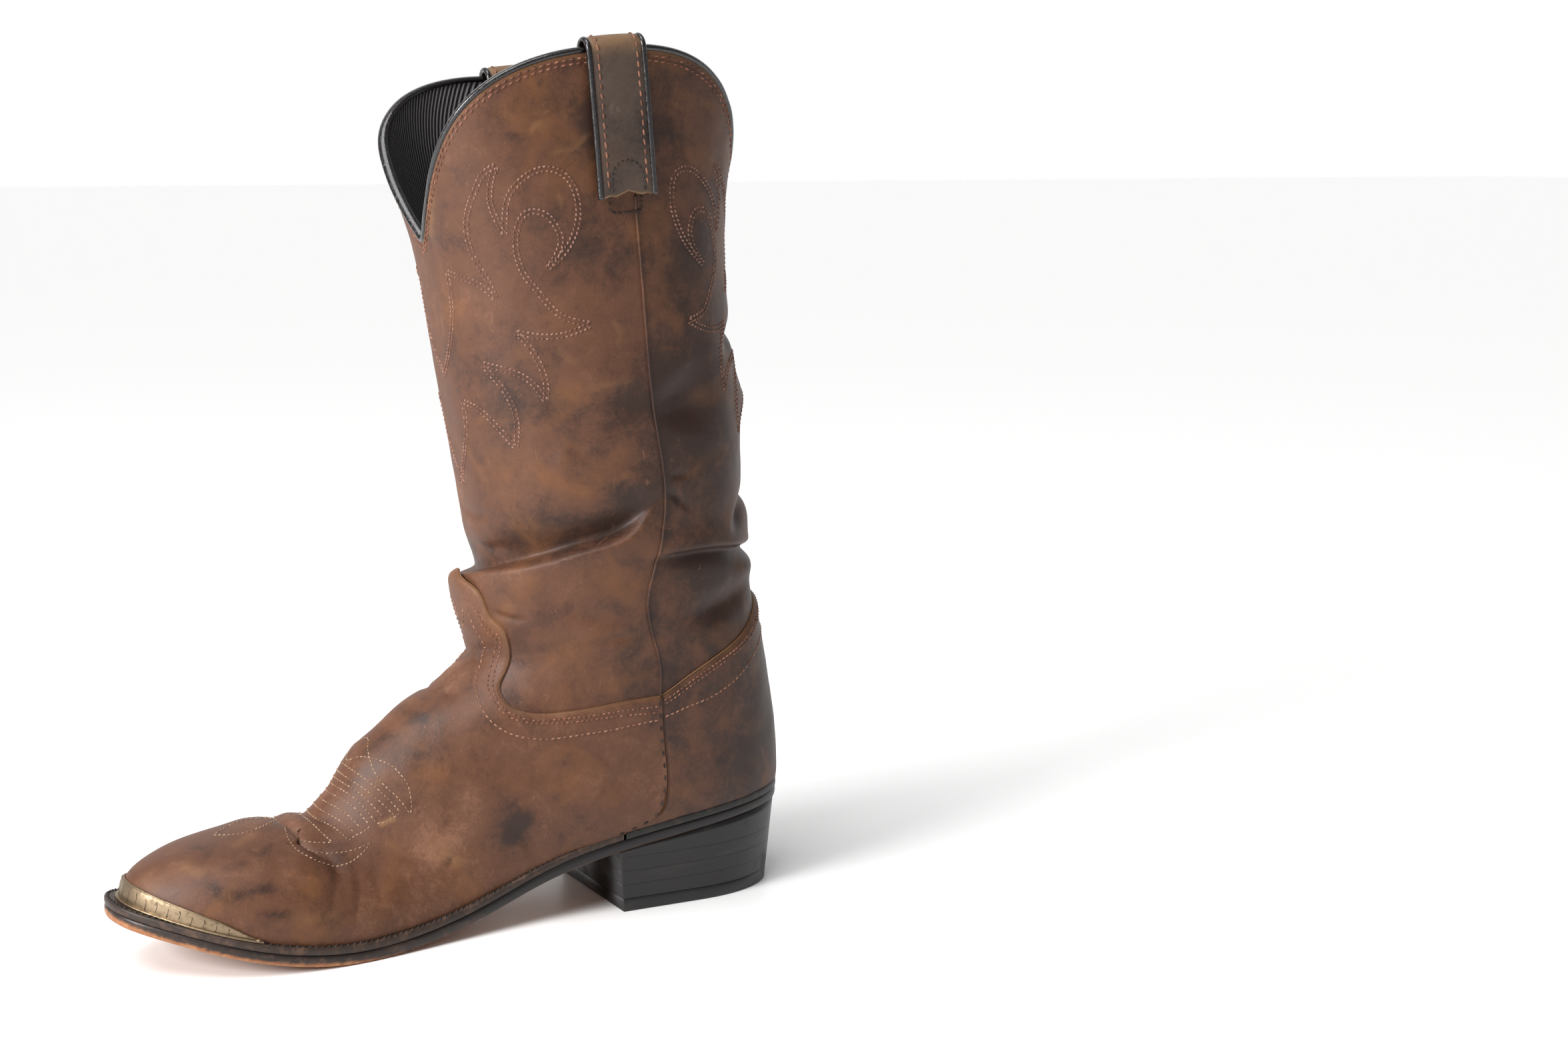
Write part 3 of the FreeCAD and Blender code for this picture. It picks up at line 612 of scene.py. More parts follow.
def worn_leather(name, dark, middle, light, tan, orange):
    """Oiled, much worn leather: dark patches, painted shade carried by the number tone, rubbed light places,
    scuffs and a tan cut edge.
    """
    n = Nodes(name, 0.55, Specular_IOR_Level=0.32)
    patches = n.noise(48, 4, 0.6, 0.4)
    mottle = n.noise(13, 5, 0.62, 0.6, seed=0.31)
    cloud = n.noise(5, 3, 0.5, seed=0.7)
    grain = n.noise(0.9, 3, 0.6)
    pores = n.noise(0.35, 2, 0.6)
    tone = n.number("tone")
    fibre = n.noise(2.4, 5, 0.72, 0.9, seed=2.7)
    depth = n.math("ADD", n.math("MULTIPLY", patches, 0.40), n.math("MULTIPLY", mottle, 0.38))
    depth = n.math("ADD", depth, n.math("MULTIPLY", fibre, 0.22))
    # The number tone darkens the colour: real patches and streaks, and painted shade in the hollows and on
    # the back of the shaft.
    depth = n.math("ADD", depth, n.math("MULTIPLY", tone, 0.17))
    depth = n.math("ADD", depth, n.math("MULTIPLY", n.math("SUBTRACT", grain, 0.5), 0.12))
    color = n.mix(n.between(depth, 0.28, 0.50), dark, middle)
    color = n.mix(n.between(depth, 0.48, 0.76), color, light)
    glow = n.math("MULTIPLY", n.between(n.noise(30, 3, 0.5, 0.8, seed=1.3), 0.50, 0.72), 0.55)
    color = n.mix(n.math("MULTIPLY", glow, n.between(cloud, 0.3, 0.7, 0.5, 1.0)), color, orange)
    streak = n.between(n.noise(7, 3, 0.55, 2.2, stretch=(1.0, 1.0, 0.35), seed=2.1), 0.66, 0.76)
    color = n.mix(n.math("MULTIPLY", streak, 0.35), color, light)
    smudge = n.between(n.noise(20, 4, 0.6, 1.2, seed=4.2), 0.60, 0.72)
    color = n.mix(n.math("MULTIPLY", smudge, 0.30), color, dark)
    color = n.mix(n.between(pores, 0.30, 0.46, 0.16, 0.0), color, dark)
    color = n.mix(n.between(n.noise(1.7, 1, 0.5, seed=6.0), 0.78, 0.82, 0.0, 0.4), color, tan)
    color = n.mix(n.math("MULTIPLY", n.number("wear"), n.between(mottle, 0.3, 0.7, 0.55, 1.0)), color, tan)
    color = n.mix(n.math("MULTIPLY", n.number("raw"), 0.92), color, tan)
    n.bump(n.noise(4.5, 3, 0.55, 0.5), 0.35, 0.35)
    n.bump(grain, 0.16, 0.6)
    n.bump(pores, 0.05, 0.6)
    rough = n.between(depth, 0.3, 0.8, 0.46, 0.66)
    return n.finish(color, rough)


def plain_leather(name, base, worn_color, size=6.0, roughness=0.5, low=0.45, high=0.75, grain_mm=0.1):
    n = Nodes(name, roughness, Specular_IOR_Level=0.4)
    share = n.noise(size, 5, 0.65, 0.6)
    fine = n.noise(size / 7, 4, 0.6)
    color = n.mix(n.between(share, low, high), base, worn_color)
    color = n.mix(n.between(fine, 0.55, 0.8, 0.0, 0.3), color, worn_color)
    n.bump(fine, grain_mm, 0.6)
    return n.finish(color, n.between(share, 0.3, 0.7, roughness - 0.08, roughness + 0.1))


def patent(name):
    """Glossy black binding with fine cross wrinkles and rubbed places."""
    n = Nodes(name, 0.16, Specular_IOR_Level=0.5, Coat_Weight=0.6, Coat_Roughness=0.04)
    wrinkle = n.noise(1.6, 4, 0.7, 1.0)
    rubbed = n.between(n.noise(9, 3, 0.6, seed=0.4), 0.6, 0.75, 0.0, 0.5)
    color = n.mix(rubbed, (0.005, 0.003, 0.003), (0.020, 0.012, 0.010))
    n.bump(wrinkle, 0.30, 0.8)
    n.bump(n.noise(0.5, 2), 0.05, 0.5)
    return n.finish(color, n.between(rubbed, 0.0, 0.5, 0.14, 0.32))


def ribbed_cloth(name):
    """Black ribbed lining: number rib counts the ribs round the boot."""
    n = Nodes(name, 0.75, Specular_IOR_Level=0.2)
    wave = n.math("SINE", n.math("MULTIPLY", n.number("rib"), 2 * math.pi))
    fuzz = n.noise(0.5, 3)
    # The colour follows the rib wave of the bump: painted shade in the grooves and painted light on the
    # crests.
    color = n.mix(n.between(wave, -1.0, 1.0), (0.022, 0.020, 0.022), (0.16, 0.15, 0.157))
    color = n.mix(n.between(n.noise(1.1, 2), 0.74, 0.8, 0.0, 0.25), color, (0.3, 0.29, 0.28))
    n.bump(wave, 0.32, 0.9)
    n.bump(fuzz, 0.08, 0.8)
    return n.finish(color, n.between(fuzz, 0.3, 0.7, 0.65, 0.85))


def thread(name, dark, light, roughness=0.6):
    """Waxed thread: every stitch has its own tint."""
    n = Nodes(name, roughness, Specular_IOR_Level=0.35)
    tint = n.math("ADD", n.number("tint"), n.math("MULTIPLY", n.noise(6, 3, seed=0.9), 0.6))
    color = n.mix(n.between(tint, 0.3, 1.3), dark, light)
    n.bump(n.noise(0.3, 2), 0.08, 0.8)
    return n.finish(color, n.between(n.noise(0.6, 2), 0.3, 0.7, roughness - 0.1, roughness + 0.1))


def antique_brass(name, dull=False):
    """Old brass, dark where polish never reaches."""
    n = Nodes(name, 0.35, metallic=1.0)
    grime = n.noise(3.2, 5, 0.65, 0.8)
    fine = n.noise(0.7, 3)
    bright = (0.10, 0.072, 0.045) if dull else (0.31, 0.23, 0.148)
    color = n.mix(n.between(grime, 0.46, 0.72), bright, (0.15, 0.11, 0.070))
    color = n.mix(n.between(fine, 0.60, 0.74, 0.0, 0.35), color, (0.08, 0.058, 0.036))
    n.bump(grime, 0.08, 0.5)
    n.bump(fine, 0.03, 0.5)
    return n.finish(color, n.between(grime, 0.4, 0.7, 0.42, 0.6))


def sole_material(name):
    """Edge-dressed sole: dark on its upper edge, rubbed to orange on the lower edge, tan below."""
    n = Nodes(name, 0.48, Specular_IOR_Level=0.4)
    uneven = n.math("MULTIPLY", n.math("SUBTRACT", n.noise(5, 4, 0.65, 0.8), 0.5), 0.55)
    level = n.math("ADD", n.number("level"), uneven)
    stain = n.noise(4, 4, 0.6, seed=0.5)
    dark = n.mix(n.between(stain, 0.45, 0.75), (0.022, 0.014, 0.011), (0.085, 0.045, 0.030))
    streak = n.noise(3, 4, 0.6, seed=1.5)
    rubbed = n.mix(n.between(streak, 0.4, 0.7), (0.30, 0.115, 0.045), (0.42, 0.20, 0.09))
    dark = n.mix(n.between(n.number("level"), 0.0, 0.35), (0.010, 0.008, 0.008), dark)
    color = n.mix(n.between(level, 0.52, 0.86), dark, rubbed)
    scratch = n.noise(9, 5, 0.7, 0.4, stretch=(0.15, 1.0, 1.0), seed=0.2)
    color = n.mix(n.between(scratch, 0.58, 0.74, 0.0, 0.35), color, (0.11, 0.06, 0.035))
    n.bump(scratch, 0.25, 0.5)
    n.bump(n.noise(0.8, 3), 0.07, 0.6)
    return n.finish(color, n.between(level, 0.3, 0.9, 0.38, 0.62))


def heel_material(name, top=False):
    """Black stacked heel: faint scratches along its sides, dull where it is scraped."""
    n = Nodes(name, 0.4, Specular_IOR_Level=0.45)
    scratch = n.noise(8, 5, 0.7, 0.4, stretch=(0.2, 0.2, 1.6), seed=0.2)
    worn_place = n.between(n.noise(14, 4, 0.6, seed=3.0), 0.5, 0.75)
    color = n.mix(n.between(scratch, 0.5, 0.75), (0.008, 0.007, 0.007), (0.022, 0.018, 0.017))
    rubbed = (0.040, 0.032, 0.028) if top else (0.028, 0.021, 0.019)
    color = n.mix(n.math("MULTIPLY", worn_place, 0.35), color, rubbed)
    n.bump(scratch, 0.22, 0.5)
    n.bump(n.noise(0.6, 3), 0.05, 0.6)
    return n.finish(color, n.between(worn_place, 0.0, 1.0, 0.34, 0.55))


def speckled(name, base, speck, size=2.0, roughness=0.8, metallic=0.0):
    n = Nodes(name, roughness, metallic)
    share = n.noise(size, 3, 0.6)
    color = n.mix(n.between(share, 0.45, 0.65), base, speck)
    n.bump(share, 0.15, 0.5)
    return n.finish(color, n.between(share, 0.3, 0.7, roughness - 0.1, min(roughness + 0.1, 1.0)))


BROWN = worn_leather("brown_leather", (0.034, 0.016, 0.011), (0.108, 0.044, 0.023), (0.245, 0.118, 0.068),
                     (0.25, 0.125, 0.052), (0.175, 0.070, 0.023))
STRAP = worn_leather("strap_leather", (0.026, 0.018, 0.015), (0.070, 0.047, 0.036), (0.145, 0.105, 0.080),
                     (0.26, 0.15, 0.075), (0.095, 0.053, 0.031))
PATENT = patent("patent_binding")
LINING_CLOTH = ribbed_cloth("ribbed_lining")
THREAD_RED = thread("thread_red_brown", (0.11, 0.041, 0.024), (0.26, 0.110, 0.066))
THREAD_FLAME = thread("thread_flame", (0.135, 0.062, 0.043), (0.28, 0.150, 0.108))
THREAD_ROSE = thread("thread_rose", (0.16, 0.070, 0.040), (0.31, 0.155, 0.098))
THREAD_TAN = thread("thread_tan", (0.20, 0.115, 0.066), (0.42, 0.28, 0.18))
THREAD_BLACK = thread("thread_black", (0.006, 0.005, 0.005), (0.03, 0.022, 0.02))
BRASS = antique_brass("antique_brass")
BRASS_DARK = antique_brass("engraving", dull=True)
SOLE = sole_material("sole_leather")
WELT_SKIN = plain_leather("welt_leather", (0.030, 0.018, 0.013), (0.100, 0.055, 0.035), 5.0, 0.5)
RAND_SKIN = plain_leather("heel_rand_leather", (0.010, 0.009, 0.008), (0.05, 0.033, 0.025), 6.0, 0.42)
HEEL = heel_material("heel_black")
HEEL_TOP = heel_material("heel_rubber", top=True)
LEG_LINING = speckled("foot_lining", (0.19, 0.13, 0.085), (0.13, 0.085, 0.055), 1.2)
STIFF = speckled("stiffener_board", (0.42, 0.33, 0.22), (0.30, 0.22, 0.14), 1.6)
BOARD = speckled("insole_board", (0.40, 0.29, 0.18), (0.28, 0.19, 0.11), 1.2)
SOCK = plain_leather("sock_leather", (0.20, 0.12, 0.07), (0.33, 0.22, 0.14), 9.0, 0.6)
CORK = speckled("cork", (0.30, 0.17, 0.08), (0.10, 0.05, 0.03), 2.2)
STEEL = speckled("spring_steel", (0.42, 0.42, 0.44), (0.30, 0.28, 0.27), 3.0, 0.38, 1.0)
NAIL = speckled("brass_nail", (0.62, 0.44, 0.20), (0.40, 0.27, 0.12), 0.8, 0.36, 1.0)

# Patches of the leather that are darker or lighter than the rest: place, radius in mm, amount. The dark ones
# in the hollow behind the side seam and on the back of the shaft are partly painted shade.
PATCHES_AND_SHADE = [
    ((3.5, 112), 26, -0.9), ((2, 118.5), 16, -0.6), ((1.94, 78), 8, -0.3), ((3.32, 88), 10, -0.7),
    ((4.3, 88), 13, -0.6), ((4.75, 66.5), 17, -0.5), ((4.85, 41.2), 12, -0.3), ((5.21, 121), 15, -0.9),
    ((6, 123.2), 17, -0.9), ((1.09, 36.2), 22, 0.5), ((0.71, 112.2), 18, 0.6), ((0.5, 136.5), 14, 0.4),
    ((2.6, -1.5), 26, 0.7), ((4.11, -4.5), 26, 0.7), ((3.3, 62), 20, -0.25), ((2.53, 60), 12, 0.3),
    ((5.6, 63.2), 14, 0.35), ((5.57, 26.2), 14, 0.5), ((6.2, 71.8), 14, 0.4), ((12.64, 76.2), 11, -0.4),
    ((13.32, 81.5), 10, -0.8), ((11.36, 32.8), 13, -0.7), ((8.89, 15.2), 15, -0.5), ((7.7, 4), 12, 0.5),
    ((12.85, 60.5), 15, 0.8), ((14.38, 72.5), 13, 0.5), ((19.32, 12.5), 13, -0.6),
    ((18.34, 39.2), 14, -0.7), ((17.35, 67.8), 15, -0.4), ((20.9, 26.5), 12, 0.5), ((19.6, -20), 16, 0.4),
    ((16.55, 82), 10, 0.4), ((9.01, 130), 22, -0.9), ((7.6, 149), 20, -0.7), ((10.24, 110.2), 16, 0.25),
    ((9.45, 90), 14, 0.2), ((3.4, -100), 26, -0.7), ((5.6, -120), 20, -0.8), ((1.6, -40), 22, 0.4),
    ((4.6, -60), 18, -0.4), ((8.6, -130), 24, -0.7), ((12.6, -70), 15, -0.7), ((15.4, -64), 16, 0.5),
    ((18.6, -46), 15, -0.6), ((1.4, 180), 22, 0.4), ((3.4, 190), 22, -0.3), ((6.6, 180), 14, -0.5),
    ((15, 0), 14, 0.5), ((22.36, 10.2), 9, -0.5),
]


# Rubbed lines where the finish is gone, and dark streaks: amount, half width in mm, the line's places.
SCUFFS = [
    (0.45, 0.9, [(1.01, 71), (0.93, 73.5), (0.89, 76.5)]),
    (0.4, 1, [(1.22, 76.5), (1.14, 79.5), (1.11, 83.5), (1.03, 86), (0.97, 88)]),
    (0.35, 0.8, [(1.48, 75.5), (1.56, 76.5), (1.64, 75.5)]),
    (0.3, 1.2, [(2.58, 84.5), (2.72, 86.5), (2.82, 84)]),
    (0.22, 1.6, [(3.19, 70), (3.17, 76.5), (3.13, 85.5), (3.11, 90.5)]),
    (0.25, 1.2, [(2.8, 61.5), (2.92, 67), (2.94, 71.5)]),
    (0.6, 2.4, [(1.4, 17), (1.58, 15), (1.74, 11), (1.92, 5.5)]),
    (0.95, 1.1, [(13.77, 39.2), (13.62, 40.8), (13.42, 42.2), (13.28, 43.2)]),
    (0.28, 2.6, [(20.63, 27.5), (20.14, 38), (19.69, 45)]),
    (0.26, 2.6, [(18.2, 79.5), (17.44, 78), (16.9, 81)]),
    (0.24, 2.4, [(18.84, 21.5), (18.35, 17), (17.56, 10)]),
    (0.2, 4, [(13.6, 66), (14.04, 70.5), (14.31, 79.5), (14.71, 82.5)]),
    (0.22, 3.2, [(22.2, 20), (21.8, 40), (21.4, 60)]),
    (0.35, 1, [(2.4, -60), (2.55, -66), (2.52, -72)]),
    (0.35, 0.9, [(0.9, -110), (1.05, -116), (1.3, -118)]),
    (0.3, 1.1, [(3.6, 200), (3.5, 192), (3.58, 184)]),
]
STREAKS = [
    (-0.9, 3.6, [(13.6, 85), (13.1, 80.5), (12.54, 77), (11.9, 74)]),
    (-0.6, 2.6, [(20.06, 63.5), (19.25, 65), (18.49, 59), (17.8, 61)]),
    (-0.6, 2.2, [(18.15, 36), (17.78, 28), (17.32, 22)]),
    (-0.6, 2.4, [(18.9, 78.5), (18.27, 75.5), (17.8, 76)]),
    (-0.6, 2.4, [(19.43, 41.5), (18.68, 38), (18.41, 36)]),
    (-0.6, 3, [(20.6, 48), (20, 54), (19.3, 56)]),
    (-0.5, 0.7, [(14.31, 72.5), (14.71, 79), (14.96, 84.5)]),
    (-0.7, 5, [(0.51, 86), (0.97, 87.5), (1.38, 89)]),
    (-0.8, 6, [(3.19, 97.5), (3.43, 101.5), (3.7, 102)]),
    (-0.7, 4, [(9.16, -12), (9.16, 16.5), (9.33, 27.5)]),
    (-0.7, 3, [(19.2, -38), (18.6, -46), (17.9, -50)]),
]


def tone_at(p):
    """Tone: painted shade darker in the hollows; ridges lighter, partly rubbed and partly painted light; with
    patches and streaks.
    """
    # Painted shade in the fold hollows and painted light on the ridges, taken from the height of the folds.
    total = 0.10 * np.clip(creases(p), -4.0, 3.0)
    for (s, angle), radius, amount in PATCHES_AND_SHADE:
        centre = bare(s, angle)
        distance = np.linalg.norm(p - centre, axis=-1)
        total += 0.7 * amount * np.exp(-(distance / radius) ** 2)
    return total + along_lines(p, STREAKS)


def along_lines(p, lines):
    total = np.zeros(p.shape[:-1])
    for amount, width, places in lines:
        line = on_skin(places, 16)
        near = near_box(p, line, 3.0 * width)
        if near.any():
            distance, share, _ = over_line(p[near], line)
            total[near] += amount * np.exp(-(distance / width) ** 2) * swell(share, 0.25)
    return total


# ---------------------------------------------------------------- upper

TUCK = 8.5
SEAM_LINE = np.array([(0.0, 95.4), (1.5, 95.1), (2.5, 94.8), (3.66, 94.8), (4.2, 95.9), (4.64, 94.6),
                      (5.1, 92.3), (5.5, 90.4), (6.2, 89.6), (6.94, 90.3), (7.66, 91.0), (9.0, 92.0)])
SEAM = spline(SEAM_LINE[:, 0], SEAM_LINE[:, 1])


def panel_grid(front, rows, columns, base=TUCK, lift=0.0):
    v, u = np.meshgrid(np.linspace(0, 1, rows), np.linspace(0, 1, columns), indexing="ij")

    def angle_of(s):
        side = SEAM(s)
        return (2 * u - 1) * side if front else side + u * (360 - 2 * side)
    top = rim(angle_of(np.ones_like(u))) + lift
    s = top + v * (base - top)
    return s, angle_of(s)


def from_rim(s, angle):
    return np.linalg.norm(bare(s, angle) - bare(rim(angle), angle), axis=-1)


# Where the vamp meets the sole behind: the counter covers the rest.
COUNTER_END = 108.3
BOTTOM = float(bisect(lambda s: over_seat(s, COUNTER_END) > 0, np.array(10.0), np.array(13.0)))
FEATHER_SLOPE = -9.0
FEATHER_EASE = 1.6


def feather(s):
    """Angle at which the vamp's columns end: the seat line, carried on smoothly over the heel."""
    s = np.asarray(s, float)
    over = np.minimum(s - BOTTOM, 0)
    above = COUNTER_END - FEATHER_SLOPE * FEATHER_EASE * (1 - np.exp(over / FEATHER_EASE))
    return np.where(s < BOTTOM, above, seat_angle(np.maximum(s, BOTTOM)))


# Edge of the vamp: the tongue, the notch under it, the scallop up to the side seam, and down
# the seam to the sole.
VAMP_EDGE = [(5.38, 0), (5.4, 4), (5.45, 8.5), (5.53, 13.8), (5.66, 17.5), (5.83, 20), (6.01, 22.2),
             (6.15, 25.2), (6.27, 28.4), (6.36, 29.6), (6.5, 29.9), (6.7, 30), (6.95, 30.1), (7.2, 30.3),
             (7.39, 30.8), (7.58, 32), (7.76, 34.8), (7.95, 39.2), (8.11, 43.4), (8.21, 48), (8.25, 53),
             (8.17, 60), (8.01, 68.4), (7.83, 77.4), (7.66, 91)]
VAMP_SEAM = [(7.66, 91), (8.1, 92.1), (8.56, 93.2), (9.38, 95.1), (9.86, 96.4), (10.6, 99.8),
             (11.1, 103.6), (BOTTOM, COUNTER_END)]


def refined(places, step=1.5):
    """Places along a smooth line through the given ones, about step mm apart."""
    places = np.array(places, float)
    reach = travel(bare(places[:, 0], places[:, 1]))
    return spline(reach, places)(np.linspace(0, reach[-1], int(reach[-1] / step)))


def vamp_grid(rows, columns):
    edge = np.concatenate([refined(VAMP_EDGE), refined(VAMP_SEAM)[1:]])
    share = np.maximum.accumulate(edge[:, 1] / feather(edge[:, 0])) + np.arange(len(edge)) * 1e-6
    share[-1] = 1.0
    reach = travel(bare(edge[:, 0], edge[:, 1]))
    half = np.interp(np.linspace(0, 1, columns // 2 + 1), 0.5 * share + 0.5 * reach / reach[-1], share)
    u = np.concatenate([-half[:0:-1], half])
    start = np.interp(np.abs(u), share, edge[:, 0])
    v = np.concatenate([[0.0, 0.0012, 0.003], np.linspace(0.006, 1, rows - 3)])[:, None]
    s = start + (TIP_CHORD - 0.02 - start) * v
    return s, u * feather(s)


COLLAR = [(7.66, 91), (7.36, 98), (7.02, 109.4), (6.69, 127.2), (6.34, 148.5), (6.08, 168), (6.02, 180)]


def counter_grid(rows, columns):
    there = np.array(COLLAR)
    back = np.stack([there[-2::-1, 0], 360 - there[-2::-1, 1]], -1)
    loop = np.concatenate([there, back])
    collar = spline(loop[:, 1], loop[:, 0])
    down = np.array(VAMP_SEAM)
    seam = spline(down[:, 0], down[:, 1])
    v, c = np.meshgrid(np.linspace(0, 1, rows), np.linspace(0, 1, columns), indexing="ij")
    side = seam(7.66 + v * (BOTTOM - 7.66))
    angle = side + c * (360 - 2 * side)
    top = collar(np.clip(angle, 91.0, 269.0))
    return top + v * (seat_chord(np.minimum(angle, 360 - angle)) - top), angle


def leather_piece(name, grid, body, slot, node, out=0.0, thick=LEATHER, material=BROWN, wear=None, shade=0.0):
    s, angle = grid
    p = bare(s, angle)
    wear = (np.zeros_like(s) if wear is None else wear) + along_lines(p, SCUFFS)
    # tone holds painted shade: tone_at darkens the hollows, and shade darkens the whole piece.
    piece = leather_sheet(name, s, angle, material, out, thick, tone=tone_at(p) + shade, wear=wear)
    return place_on(piece, body, slot, node)


VAMP_OUT = LEATHER - GAP


def tongue_lift(s, angle):
    """The vamp's tongue has curled away from the shaft."""
    return 2.2 * np.exp(-((s - 5.25) / 0.45) ** 2) * np.exp(-(angle / 17.0) ** 4)


def edge_wear(s, angle, line, reach=1.2):
    """1 at a cut edge, falling off over reach mm."""
    places = refined(line, 3.0)
    distance = over_line(bare(s, np.abs(angle)), bare(places[:, 0], places[:, 1]))[0]
    return np.exp(-distance / reach)


def make_upper():
    s, angle = panel_grid(True, 260, 230)
    rim_wear = 0.6 * np.exp(-((from_rim(s, angle) - 2.2) / 1.1) ** 2)
    # shade darkens a whole piece: the front panel a little; the back panel and the counter more, partly as
    # painted shade on the back of the boot, away from the light, and partly as darker leather.
    leather_piece("front_panel", (s, angle), "ankle", "brown_leather", "shaft_front_panel", wear=rim_wear,
                  shade=-0.35)
    s, angle = panel_grid(False, 260, 210)
    rim_wear = 0.6 * np.exp(-((from_rim(s, angle) - 2.2) / 1.1) ** 2)
    # Partly painted shade: the back panel is darkened by 0.75.
    leather_piece("back_panel", (s, angle), "ankle", "brown_leather", "shaft_back_panel", wear=rim_wear,
                  shade=-0.75)
    s, angle = vamp_grid(250, 281)
    thin = 0.75 * edge_wear(s, angle, VAMP_EDGE, 0.9)
    leather_piece("vamp_leather", (s, angle), "ankle", "brown_leather", "vamp",
                  VAMP_OUT + tongue_lift(s, angle) - thin, VAMP_OUT - GAP - thin, wear=0.5 * thin)
    s, angle = counter_grid(110, 200)
    thin = 0.75 * edge_wear(s, np.minimum(angle, 360 - angle), COLLAR, 0.9)
    # Partly painted shade: the counter is darkened by 0.6.
    leather_piece("counter_leather", (s, angle), "ankle", "brown_leather", "counter_cover",
                  VAMP_OUT - thin, VAMP_OUT - GAP - thin, wear=0.5 * thin, shade=-0.6)
    for front, side in ((True, "front"), (False, "back")):
        s, angle = panel_grid(front, 110, 110, lift=0.01)
        rib = (angle * 1.1 + 0.16 * bare(s, angle)[..., 2]) / 1.5
        piece = leather_sheet("lining_cloth_" + side, s, angle, LINING_CLOTH, -LEATHER - GAP, LINING, rib=rib)
        place_on(piece, "ankle", "lining_cloth", "lining_" + side)
    u, v = np.meshgrid(np.linspace(-1, 1, 90), np.linspace(0, 1, 90))
    s = 8.6 + v * (19.0 - 8.6)
    piece = leather_sheet("foot_lining", s, u * feather(s), LEG_LINING, -0.25, LEATHER - 0.5)
    place_on(piece, "foot", "lining_cloth", "vamp_lining")
    s = 19.05 + v * (TIP_CHORD - 0.05 - 19.05)
    piece = leather_sheet("toe_stiffener", s, u * feather(s), STIFF, -0.25, LEATHER - 0.5)
    place_on(piece, "foot", "stiffener", "toe_puff")
    seam_side = 93.0 + 11.0 * v
    angle = seam_side + (u + 1) / 2 * (360 - 2 * seam_side)
    s = 8.6 + v * (seat_chord(np.minimum(angle, 360 - angle)) - 8.6)
    piece = leather_sheet("heel_stiffener", s, angle, STIFF, -0.25, LEATHER - 0.5)
    place_on(piece, "foot", "stiffener", "counter_stiffener")


make_upper()

# ---------------------------------------------------------------- binding, piping and straps


def make_binding():
    """Glossy binding round the top edge, front half and back half."""
    for front, side in ((True, "front"), (False, "back")):
        end = 95.1
        angle = np.linspace(-end, end, 260) if front else np.linspace(end, 360 - end, 240)
        s = rim(angle, 0.5)
        normal = frame_at(worn, s, angle)[2]
        path = worn(s, angle) - normal * ((LEATHER + GAP + LINING) / 2)
        piece = tube("binding_" + side, path, BINDING_RADIUS, PATENT, sides=14, up=normal, flat=1.5)
        place_on(piece, "ankle", "black_binding", "top_binding_" + side)


def make_side_piping():
    for side, name in ((1, "inner"), (-1, "outer")):
        s = np.linspace(1.52, 7.72, 420)
        angle = side * SEAM(s)
        normal = frame_at(worn, s, angle)[2]
        path = worn(s, angle) + normal * 0.12
        # Painted shade: the ridge is the same brown leather, with its tone lowered by 0.9 for the shadow
        # along the seam.
        data = tone_at(path) - 0.9
        piece = tube("side_ridge_" + name, path, 0.62, BROWN, sides=10, up=normal,
                     tone=np.append(np.repeat(data, 10), [0, 0]), wear=np.zeros(len(s) * 10 + 2))
        place_on(piece, "ankle", "brown_leather", "side_piping_" + name)


STRAP_MIDDLE = 95.2 - HALF_LENGTH
STRAP_TURN = 345.0
STRAP_TILT = 5.0
STRAP_END = 314.5
STRAP_OUT, STRAP_BACK = 2.35, 6.7
STRAP_HALF = 11.3
LEG_ASIDE = 0.6
STRAP_THICK = 2.2
CORD_RADIUS = 1.25
STRAP_ROW = 8.7
STRAP_LOWERED = 0.7


def wall_height(z):
    return chord(chord_at_height(z))[..., 4]


def strap_path(side):
    """Middle of a strap in (y, z): up outside, over the edge and down inside, and its outward side."""
    hinge = RIM_DIP + RIM_RISE + side * RIM_LEAN - (STRAP_LOWERED if side > 0 else 0.0)
    radius = (STRAP_OUT + STRAP_BACK) / 2
    up = np.arange(STRAP_END, hinge, 1.0)
    centre = wall_height(hinge) + STRAP_OUT - radius
    arc = np.radians(np.linspace(0, 180, 26))
    down = np.arange(hinge - 0.5, STRAP_END + 4.0, -1.5)
    y = np.concatenate([wall_height(up) + STRAP_OUT, centre + radius * np.cos(arc),
                        wall_height(down) - STRAP_BACK])
    z = np.concatenate([up, hinge + radius * np.sin(arc), down])
    path = np.stack([y, z], -1)
    along = unit(np.gradient(path, axis=0))
    return path, np.stack([along[:, 1], -along[:, 0]], -1)


def strap_place(side, x, path, away, out):
    """Points of the strap at a distance x from its middle line, tilted with the boot's side."""
    flat = path + away * np.asarray(out)[..., None]
    aside = 0.0 if side > 0 else 2 * LEG_ASIDE
    tilt = math.radians(STRAP_TILT)
    z = flat[..., 1] - STRAP_TURN
    return np.stack([STRAP_MIDDLE + x * math.cos(tilt) + z * math.sin(tilt), side * (flat[..., 0] + aside),
                     STRAP_TURN - x * math.sin(tilt) + z * math.cos(tilt)], -1)


